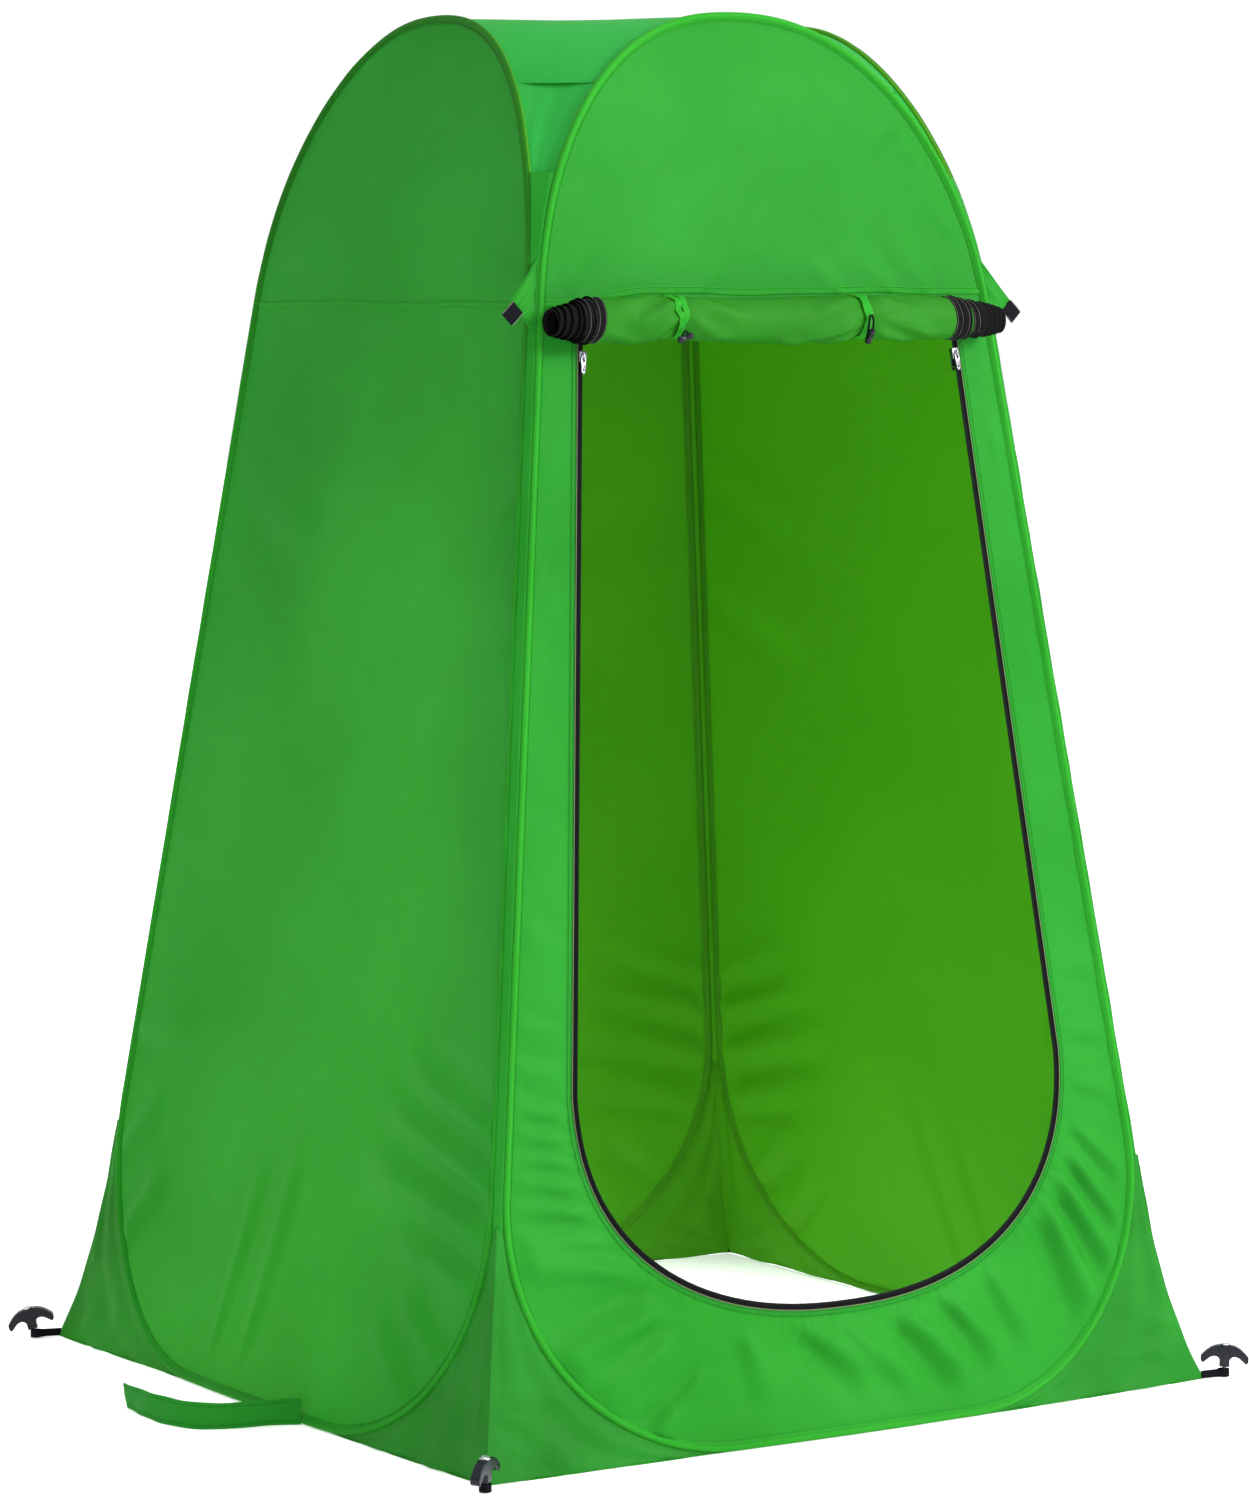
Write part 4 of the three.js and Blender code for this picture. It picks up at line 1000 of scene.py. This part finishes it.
def add_zip():
    def strip(out_from, out_to, rise, ridges, steps):
        inner = both_halves(door_half(out_from, 300))
        outer = both_halves(door_half(out_to, 300))
        inner, outer = (along_path(line, np.linspace(0, 0.9985, steps + 1)) for line in (inner, outer))

        def place(u, v):
            i = np.rint(u * steps).astype(int)
            point = inner[i] * (1 - v[:, None]) + outer[i] * v[:, None]
            tooth = 1 + ridges * np.where(i % 2 == 0, 1.0, -1.0)
            lift = rise * np.sin(math.pi * v) ** 0.6 * tooth
            return on_wall("front", point[:, 0], point[:, 1], lift)

        return grid_mesh((steps, 6), place, (DOOR_LENGTH, out_to - out_from))

    steps = round(DOOR_LENGTH / 0.0015) * 2
    chain = finish_piece(strip(-0.0018, 0.0018, 0.0016, 0.28, steps), "zip_coil", [ZIP_COIL],
                         nodes=["zip_chain"], thickness=0.0020,
                         outward=away_from_heart)
    chain.data.shade_flat()
    tape = finish_piece(strip(0.0014, 0.0085, 0.0003, 0.0, 900), "zip_tape_band", [ZIP_TAPE],
                        nodes=["zip_tape"], thickness=0.0009,
                        outward=away_from_heart)


# ---- Refined copies of small moulded and cast parts --------------------------------------------

def refined(node, name, material, edge, segments, body=None, angle=22):
    """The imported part's shape with its facets joined and its edges rounded."""
    mesh = frame["nodes"][node].data.copy()
    mesh.materials.clear()
    form = bmesh.new()
    form.from_mesh(mesh)
    bmesh.ops.remove_doubles(form, verts=form.verts, dist=1e-6)
    bmesh.ops.dissolve_limit(form, angle_limit=math.radians(2), verts=form.verts, edges=form.edges)
    edges = [e for e in form.edges if e.calc_face_angle(0) > math.radians(angle)]
    bmesh.ops.bevel(form, geom=edges, offset=edge, offset_type="OFFSET", segments=segments,
                    profile=0.5, affect="EDGES", clamp_overlap=True, material=-1)
    bmesh.ops.triangulate(form, faces=[f for f in form.faces if len(f.verts) > 4])
    form.to_mesh(mesh)
    form.free()
    return finish_piece(mesh, name, [material], body=body or node, nodes=[node], sharp=38)


def add_sliders():
    for side in ("left", "right"):
        refined(f"zip_slider_{side}", f"{side}_slider", CHROME, 0.00035, 2)
        for face in ("outer", "inner"):
            refined(f"zip_pull_{face}_{side}", f"{side}_{face}_pull", CHROME, 0.0003, 2)


# ---- Rolled door -----------------------------------------------------------------------------

ROLL_HEIGHT = SHOULDER - ROLL_DROP
ROLL_Y = CENTRE.y - (float(wall_offset(np.array(ROLL_HEIGHT))) + ROLL_RADIUS + ROLL_OFF)
DOOR_CUT_LENGTH = SHOULDER - DOOR_FOOT
CORE_RADIUS, OUTER_RADIUS = 0.0065, 0.0290
ROLL_PITCH = math.pi * (OUTER_RADIUS ** 2 - CORE_RADIUS ** 2) / DOOR_CUT_LENGTH
GREEN_HALF = 0.2560
# The door was rolled up a little askew: its outer turns lie this far along the roll
ROLL_SKEW = -0.014
SKEW_FROM, SKEW_OVER = 0.55, 0.3
ROLLED_TAPE = 0.014

ROLL_FOLDS = [
    (-0.138, 0.6, -0.210, 2.0, 0.010, 0.0022), (-0.138, 1.2, -0.190, 2.8, 0.009, 0.0020),
    (-0.138, 2.6, -0.230, 3.4, 0.009, 0.0018), (-0.120, 0.4, -0.050, 1.5, 0.010, 0.0020),
    (-0.125, 1.6, -0.060, 2.7, 0.009, 0.0016), (0.128, 0.5, 0.060, 1.3, 0.010, 0.0018),
    (0.130, 1.8, 0.020, 2.9, 0.009, 0.0022), (0.128, 2.4, 0.080, 3.3, 0.007, 0.0016),
    (0.150, 0.5, 0.225, 1.6, 0.011, 0.0022), (0.152, 1.4, 0.250, 2.4, 0.010, 0.0022),
    (0.155, 2.2, 0.230, 3.2, 0.008, 0.0018), (-0.165, 0.2, -0.245, 1.2, 0.011, 0.0018),
    (0.010, 2.4, 0.060, 3.4, 0.010, 0.0012), (-0.250, 2.0, -0.190, 3.0, 0.008, 0.0014),
]


def roll_point(x, radius, angle):
    """A point of the roll: angle 0 is at its top, and grows down over its front."""
    round_angle = np.mod(angle, 2 * math.pi)
    outer = np.clip(radius / OUTER_RADIUS, 0, 1) ** 2
    pinch = sum(np.exp(-((x - tie) / 0.016) ** 2) for tie in TIE_OFFSETS.values())
    middle = sum(TIE_OFFSETS.values()) / 2
    wrinkle = 2.4 * sum(fold(x - middle, round_angle * 0.03, (x0, a0 * 0.03, x1, a1 * 0.03, width, depth))
                        for x0, a0, x1, a1, width, depth in ROLL_FOLDS)
    under = 0.5 - 0.5 * np.cos(round_angle)
    fullness = 1 + 0.035 * np.sin(13 * x + 0.7) - (0.08 + 0.12 * under) * pinch
    sag = 0.0035 * np.cos(np.clip((x - middle) / 0.138, -1, 1) * math.pi / 2) - 0.002 * (1 - pinch)
    r = radius * fullness + (wrinkle + 0.0011 * crumple(x, round_angle * 0.03, 3)) * outer
    lean = 0.004 * np.clip((np.abs(x) - 0.2) / 0.14, 0, 1)
    y = ROLL_Y - r * np.sin(round_angle)
    z = ROLL_HEIGHT + r * np.cos(round_angle) * 0.98 - sag + 0.001 * pinch - lean
    x = x - 0.011 * smooth((x - 0.12) / 0.2)
    return np.stack([x + CENTRE.x, y, z], -1)


def spiral(s):
    """Radius and angle of the rolled cloth at s metres from its inner end."""
    radius = np.sqrt(CORE_RADIUS ** 2 + ROLL_PITCH * s / math.pi)
    turns = (radius - CORE_RADIUS) / ROLL_PITCH
    last = (OUTER_RADIUS - CORE_RADIUS) / ROLL_PITCH
    return radius, (last - turns) * 2 * math.pi - 0.6


def roll_half(s):
    """Half of the rolled cloth's length: longest in the middle turns, at the door's widest."""
    from_foot = s / DOOR_CUT_LENGTH
    knee = (DOOR_KNEE - DOOR_FOOT) / DOOR_CUT_LENGTH
    upper = DOOR_TOP_HALF + (ROLL_END_HALF - DOOR_TOP_HALF) * np.clip((1 - from_foot) / (1 - knee), 0, 1)
    lower = ROLL_END_HALF - 0.10 * np.clip(1 - from_foot / knee, 0, 1) ** 2
    return np.where(from_foot > knee, upper, lower)


def roll_shift(s):
    """How far along the roll the turn at s has slipped."""
    return ROLL_SKEW * smooth((s / DOOR_CUT_LENGTH - SKEW_FROM) / SKEW_OVER)


def away_from_roll(middles):
    out = middles - np.array((0, ROLL_Y, ROLL_HEIGHT))
    out[:, 0] = 0
    return out


def add_roll():
    steps = 264

    def place(u, v):
        s = v * DOOR_CUT_LENGTH
        radius, angle = spiral(s)
        half = roll_half(s) - ROLLED_TAPE + 0.001
        half = np.where(half > GREEN_HALF, half, GREEN_HALF)
        return roll_point((2 * u - 1) * half + roll_shift(s), radius, angle)

    mesh = grid_mesh((150, steps), place, (0.60, DOOR_CUT_LENGTH))
    roll = finish_piece(mesh, "rolled_door", [ROLLED, LINING], nodes=["door_roll"],
                        thickness=0.0004, outward=away_from_roll)

    for side, name in ((-1, "left"), (1, "right")):
        def edge(u, v, side=side):
            s = (0.12 + 0.88 * v) * DOOR_CUT_LENGTH
            radius, angle = spiral(s)
            x = roll_half(s) - ROLLED_TAPE * (1 - u)
            x = x + side * roll_shift(s)
            lip = 0.0016 * smooth((u - 0.72) / 0.14)
            return roll_point(side * x, radius + 0.0005 + lip, angle)

        tape = finish_piece(grid_mesh((10, 260), edge, (ROLLED_TAPE, 1.08)), f"{name}_rolled_zip_tape",
                            [ZIP_TAPE], nodes=[f"rolled_zip_end_{name}"],
                            thickness=0.0008, outward=away_from_roll)
        v = np.linspace(0.62, 0.998, 900)
        s = (0.12 + 0.88 * v) * DOOR_CUT_LENGTH
        radius, angle = spiral(s)
        rows = []
        for back in (0.0125, 0.0040):
            line = roll_point(side * (roll_half(s) - back) + roll_shift(s), radius + 0.0008, angle)
            rows.append(stitch_mesh(line, away_from_roll(line), 0.0034, 0.00016, 0.0002))
        row = finish_piece(joined(rows), f"{name}_rolled_tape_stitches", [PALE_THREAD])


def add_tie(name):
    """Two narrow tapes down the front of the roll, and one strap behind it."""
    x0 = TIE_OFFSETS[name]
    upright = name == "right"
    bands = []
    spread = 0.004 if upright else 0.009
    end = 2.05 if upright else 2.55
    for offset in (-1, 1):
        angle = np.linspace(-0.45, end, 60)
        drift = smooth((angle + 0.45) / (end + 0.45))
        x = x0 + offset * spread * (1 - drift) + 0.0015 * np.sin(5 * angle + offset)
        points = roll_point(x, np.full(60, OUTER_RADIUS + 0.0030), angle)
        bands.append(swept_mesh(points, away_from_roll(points), strap_section(0.0085, 0.0009)))
    angle = np.linspace(end, 2 * math.pi - 0.75, 70)
    points = roll_point(np.full(70, x0), np.full(70, OUTER_RADIUS + 0.0026), angle)
    bands.append(swept_mesh(points, away_from_roll(points), strap_section(0.0110, 0.0010)))
    band = finish_piece(joined(bands), f"{name}_door_tie", [BINDING], nodes=[f"door_tie_{name}"],
                        sharp=60)
    return band


def add_toggle(name):
    """A moulded toggle on a loop of black elastic."""
    node = f"tie_toggle_{name}"
    low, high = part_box(node)
    middle = (low + high) / 2
    lean = {"left": math.radians(65), "right": 0.0}[name]
    drop = math.radians(35)
    upward = Vector((0, -math.sin(drop), math.cos(drop)))
    upward = Matrix.Rotation(-lean, 3, Vector((0, -math.cos(drop), -math.sin(drop)))) @ upward
    half, radius = 0.010, 0.0042
    profile = [(0.0012, -half), (0.0030, -half), (0.0040, -half + 0.0012), (radius, -half + 0.0026),
               (radius, -0.0026), (radius * 0.84, -0.0018), (radius * 0.84, 0.0018), (radius, 0.0026),
               (radius, half - 0.0026), (0.0040, half - 0.0012), (0.0030, half), (0.0012, half)]
    form = bmesh.new()
    ring = [form.verts.new((r, 0, z)) for r, z in profile]
    edges = [form.edges.new(pair) for pair in zip(ring, ring[1:] + ring[:1])]
    bmesh.ops.spin(form, geom=ring + edges, cent=(0, 0, 0), axis=(0, 0, 1), angle=2 * math.pi,
                   steps=28, use_merge=True)
    to_place = Matrix.Translation(middle) @ upward.to_track_quat("Z", "Y").to_matrix().to_4x4()
    bmesh.ops.transform(form, matrix=to_place, verts=form.verts)
    mesh = bpy.data.meshes.new("toggle")
    form.to_mesh(mesh)
    form.free()
    finish_piece(mesh, f"{name}_toggle", [PLASTIC], body=node, nodes=[node], sharp=40)
    return middle


def add_elastic(name, middle):
    """The black elastic loop that holds the toggle to the tie."""
    x0 = CENTRE.x + TIE_OFFSETS[name]
    out = 0.0052
    angle = np.linspace(0.2, 2 * math.pi - 0.2, 44)
    width = 0.0034
    top = ROLL_HEIGHT + 0.006 if name == "right" else middle.z + 0.008
    bottom = middle.z - 0.004
    tall, mid = (top - bottom) / 2, (top + bottom) / 2
    z = mid + tall * np.cos(angle)
    x = x0 + width * np.sin(angle)
    drop = np.clip((ROLL_HEIGHT - z) / (ROLL_RADIUS + out), -1, 1)
    y = ROLL_Y - np.sqrt(1 - drop ** 2) * (OUTER_RADIUS + 0.0042)
    points = np.column_stack([x, y, z])
    outward = away_from_roll(points)
    loop = swept_mesh(points, outward, round_section(0.0013, 8))
    return finish_piece(loop, f"{name}_tie_elastic", [WEBBING])


# ---- Guy tabs --------------------------------------------------------------------------------

def add_guy_tab(name, side):
    """A triangle of cloth on the front sleeve, with a loop of black webbing sewn into its tip."""
    top, bottom = SHOULDER + 0.060, SHOULDER - 0.038
    tip = np.array([float(wall_offset(np.array(SHOULDER))) + 0.024, SHOULDER - 0.004])
    slope = math.radians(44)
    run = np.array([math.cos(slope), -math.sin(slope)])
    tip_edge = np.array([-run[1], run[0]]) * 0.0105

    def place(u, v):
        root_h = bottom + (top - bottom) * v
        root = np.stack([wall_offset(root_h) - 0.007, root_h], -1)
        end = tip + tip_edge * (2 * v[:, None] - 1)
        spot = root + (end - root) * u[:, None]
        bulge = 0.0020 * np.sin(math.pi * v) * np.sin(math.pi * u) + 0.0006 * np.sin(20 * v + 5 * u)
        y = -(wall_offset(spot[:, 1]) - 0.001 + bulge)
        return turned(np.stack([side * spot[:, 0], y, spot[:, 1]], -1), 0.0)

    mesh = grid_mesh((24, 48), place, (0.045, 0.10))
    tab = finish_piece(mesh, f"{name}_guy_tab", [TAFFETA, LINING], nodes=[f"guy_tab_{name}"],
                       thickness=0.0012,
                       outward=lambda m: np.tile((0, -1.0, 0.1), (len(m), 1)))
    rows = []
    for edge in (0.05, 0.95):
        line = place(np.linspace(0.05, 0.97, 60), np.full(60, edge))
        rows.append(stitch_mesh(line + (0, -0.0004, 0), wall_out("front", 60)))
    row = finish_piece(joined(rows), f"{name}_guy_tab_stitches", [THREAD])

    level = -(float(wall_offset(np.array(tip[1]))) + 0.0002)
    step = np.linspace(-0.003, 0.0185, 26)[:, None]
    flat = tip + run * step
    curl = -0.0010 * np.sin(math.pi * np.linspace(0, 1, 26))
    line = turned(np.column_stack([side * flat[:, 0], level + curl, flat[:, 1]]), 0.0)
    front = np.tile((0, -1.0, 0.0), (26, 1))
    webbing = swept_mesh(line, front, strap_section(0.0200, 0.0030))
    webbing = finish_piece(webbing, f"{name}_guy_webbing", [WEBBING], sharp=60)
    across = np.array([side * tip_edge[0], 0, tip_edge[1]]) * 0.95
    edges = [stitch_mesh(line + across * way + (0, -0.0016, 0), front, 0.0030, 0.0003, 0.0002)
             for way in (-1, 1)]
    edges = finish_piece(joined(edges), f"{name}_guy_webbing_edges", [PALE_THREAD])


# ---- Stakes ----------------------------------------------------------------------------------

def nail_place(corner):
    """Foot of the nail and the direction it points, from the joint that the hook turns on."""
    joint = JOINTS[f"stake_hook_turn_{corner}"]
    return Vector(joint["pos_m"]), Vector(joint["axis"]).normalized()


def spun(profile, steps):
    """A closed turned part from a profile that starts and ends on its axis."""
    form = bmesh.new()
    line = [form.verts.new((r, 0, z)) for r, z in profile]
    edges = [form.edges.new(pair) for pair in zip(line, line[1:])]
    bmesh.ops.spin(form, geom=line + edges, cent=(0, 0, 0), axis=(0, 0, 1), angle=2 * math.pi,
                   steps=steps, use_merge=True)
    bmesh.ops.remove_doubles(form, verts=form.verts, dist=1e-6)
    return form


def add_stake(corner):
    foot, axis = nail_place(corner)
    node = f"stake_nail_{corner}"
    head = 0.0423
    profile = [(0, 0.0008), (0.0016, 0.0008), (0.0024, 0.0020), (0.0024, head), (0.0055, head),
               (0.0064, head + 0.0003), (0.0066, head + 0.0010), (0.0062, head + 0.0016),
               (0.0052, head + 0.0018), (0.0044, head + 0.0014), (0.0034, head + 0.0022),
               (0.0018, head + 0.0028), (0, head + 0.0030)]
    form = spun(profile, 36)
    matrix = Matrix.Translation(foot) @ axis.to_track_quat("Z", "Y").to_matrix().to_4x4()
    bmesh.ops.transform(form, matrix=matrix, verts=form.verts)
    mesh = bpy.data.meshes.new("nail")
    form.to_mesh(mesh)
    form.free()
    finish_piece(mesh, f"{corner}_nail", [NAIL_STEEL], body=node, nodes=[node], sharp=35)
    refined(f"stake_hook_{corner}", f"{corner}_hook", PLASTIC, 0.0032, 4, angle=30)


def add_stake_loop(corner):
    """Black webbing doubled round the nail, its two legs sewn into the skirt's tip."""
    node = f"stake_loop_{corner}"
    foot, _ = nail_place(corner)
    bearing = math.radians(STAKES[corner][0])
    toward = -np.array([math.cos(bearing), math.sin(bearing), 0])
    side = np.array([-toward[1], toward[0], 0])
    ring = 0.0070
    start = math.radians(24)
    angle = np.linspace(start, 2 * math.pi - start, 60)
    bend = np.column_stack([ring * np.cos(angle), ring * np.sin(angle)])
    leg = np.linspace(LOOP_LENGTH + 0.004, 0.0085, 18)
    apart = 0.0009 + 0.0018 * smooth((0.014 - leg) / 0.008)
    legs_in = np.column_stack([leg, apart])
    path = np.vstack([legs_in, bend, legs_in[::-1] * (1, -1)])
    path = along_path(path, np.linspace(0, 1, 120))
    height = 0.0062
    points = np.array(foot) + path[:, :1] * toward + path[:, 1:] * side + (0, 0, height)
    along = np.gradient(points, axis=0)
    along /= np.linalg.norm(along, axis=1)[:, None]
    out = np.cross(along, (0, 0, 1.0))
    mesh = swept_mesh(points, out, strap_section(0.0100, 0.0013))
    finish_piece(mesh, f"stake_loop_of_{corner}", [WEBBING], nodes=[node], sharp=60)


# ---- Storage strap ---------------------------------------------------------------------------

def catmull(knots, count):
    """A smooth line through the knots."""
    knots = np.asarray(knots, float)
    padded = np.vstack([2 * knots[0] - knots[1], knots, 2 * knots[-1] - knots[-2]])
    line = []
    for i in range(1, len(knots)):
        a, b, c, d = padded[i - 1], padded[i], padded[i + 1], padded[i + 2]
        for t in np.linspace(0, 1, 40, endpoint=False):
            line.append(0.5 * (2 * b + (c - a) * t + (2 * a - 5 * b + 4 * c - d) * t ** 2
                               + (3 * b - a - 3 * c + d) * t ** 3))
    line.append(knots[-1])
    return along_path(np.array(line), np.linspace(0, 1, count))


def add_storage_strap():
    low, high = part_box("storage_strap")
    width = 0.034
    off = FOOT_HALF + FOOT_BOW
    route = [(-off - d, y) for d, y in
             ((0.001, -0.128), (0.022, -0.117), (0.061, -0.108), (0.104, -0.094),
              (0.132, -0.062), (0.143, -0.005), (0.139, 0.075))]
    line = catmull(route, 181) + (CENTRE.x, CENTRE.y)
    along = np.gradient(line, axis=0)
    along /= np.linalg.norm(along, axis=1)[:, None]
    side = np.column_stack([-along[:, 1], along[:, 0]])

    def place(u, v):
        i = np.rint(u * 180).astype(int)
        lean = 0.006 * np.sin(2.2 * math.pi * u + 0.6) * (v - 0.3) * smooth(u * 5)
        hem = 0.0007 * (np.exp(-((v - 0.09) / 0.05) ** 2) + np.exp(-((v - 0.91) / 0.05) ** 2))
        twist = 0.0010 * np.sin(31 * u + 4 * v)
        spot = line[i] + side[i] * (lean + hem + twist)[:, None]
        z = low.z + 0.0004 + (high.z - low.z - 0.0008) * v
        return np.column_stack([spot, z])

    mesh = grid_mesh((180, 24), place, (0.32, width))
    strap = finish_piece(mesh, "storage_strap_cloth", [TAFFETA], nodes=["storage_strap"],
                         thickness=0.0014,
                         outward=lambda m: np.column_stack([m[:, 0] - CENTRE.x, m[:, 1] * 0, m[:, 2] * 0]))
    rows = []
    for v in (0.14, 0.86):
        line_v = place(np.linspace(0.01, 0.99, 160), np.full(160, v))
        out = np.column_stack([side[np.rint(np.linspace(2, 178, 160)).astype(int)], np.zeros(160)])
        rows += [stitch_mesh(line_v + out * 0.0008 * s, out * s) for s in (-1, 1)]
    row = finish_piece(joined(rows), "storage_strap_stitches", [THREAD])


# ---- Ferrules --------------------------------------------------------------------------------

def add_ferrule(wall):
    refined(f"hoop_ferrule_{wall}", f"{wall}_ferrule", NAIL_STEEL, 0.0003, 2,
            body="tent", angle=50)


# ---- Light and floor -------------------------------------------------------------------------

FLOOR_HALF = 30
# A weak glow of the floor's own keeps it pale inside the tent
FLOOR_GLOW = 0.42


def add_stage():
    form = bmesh.new()
    bmesh.ops.create_grid(form, x_segments=8, y_segments=8, size=FLOOR_HALF)
    mesh = bpy.data.meshes.new("floor")
    form.to_mesh(mesh)
    form.free()
    floor = bpy.data.objects.new("floor", mesh)
    bpy.context.scene.collection.objects.link(floor)
    material = bpy.data.materials.new("pale floor")
    material.use_nodes = True
    face = material.node_tree.nodes["Principled BSDF"]
    face.inputs["Base Color"].default_value = (0.97, 0.97, 0.97, 1)
    face.inputs["Roughness"].default_value = 0.9
    face.inputs["Specular IOR Level"].default_value = 0.1
    face.inputs["Emission Color"].default_value = (1, 1, 1, 1)
    face.inputs["Emission Strength"].default_value = FLOOR_GLOW
    mesh.materials.append(material)


def add_light(name, kind, place, power, aim=(0.0, 0.0, 0.9), **settings):
    data = bpy.data.lights.new(name, kind)
    data.energy = power
    for key, value in settings.items():
        setattr(data, key, value)
    light = bpy.data.objects.new(name, data)
    light.location = CENTRE + Vector(place)
    ray = CENTRE + Vector(aim) - light.location
    light.rotation_euler = ray.to_track_quat("-Z", "Y").to_euler()
    bpy.context.scene.collection.objects.link(light)


def add_lights():
    scene = bpy.context.scene
    world = bpy.data.worlds.new("studio")
    scene.world = world
    world.use_nodes = True
    back = world.node_tree.nodes["Background"]
    back.inputs["Color"].default_value = (1, 1, 1, 1)
    back.inputs["Strength"].default_value = 1.03
    add_light("key", "AREA", (3.0, -5.0, 3.6), 430, size=2.2, shape="DISK")
    add_light("top", "AREA", (0.6, -0.8, 5.5), 70, size=3.0, shape="DISK")
    add_light("ground", "SPOT", (0.0, 0.0, 1.62), 90, aim=(0.0, 0.10, 0.0), shadow_soft_size=0.10,
              spot_size=math.radians(46), spot_blend=0.5)
    scene.view_settings.view_transform = "Standard"


# ---- Putting it together ---------------------------------------------------------------------

for side_name in ("left", "back", "right"):
    add_plain_wall(side_name)
add_front_wall()
for side_name in TURNS:
    add_arch(side_name)
    add_hoop(side_name)
    add_shoulder_seam(side_name)
    add_ferrule(side_name)
for corner_name in CORNER_TURNS:
    add_skirt(corner_name)
    add_corner_seam(corner_name)
    add_gusset(corner_name)
    add_stake(corner_name)
    add_stake_loop(corner_name)
add_roof()
add_door_edge()
add_zip()
add_sliders()
add_roll()
for tie_name, tie_side in (("left", -1), ("right", 1)):
    add_tie(tie_name)
    add_elastic(tie_name, add_toggle(tie_name))
    add_guy_tab(tie_name, tie_side)
add_storage_strap()
add_stage()
add_lights()
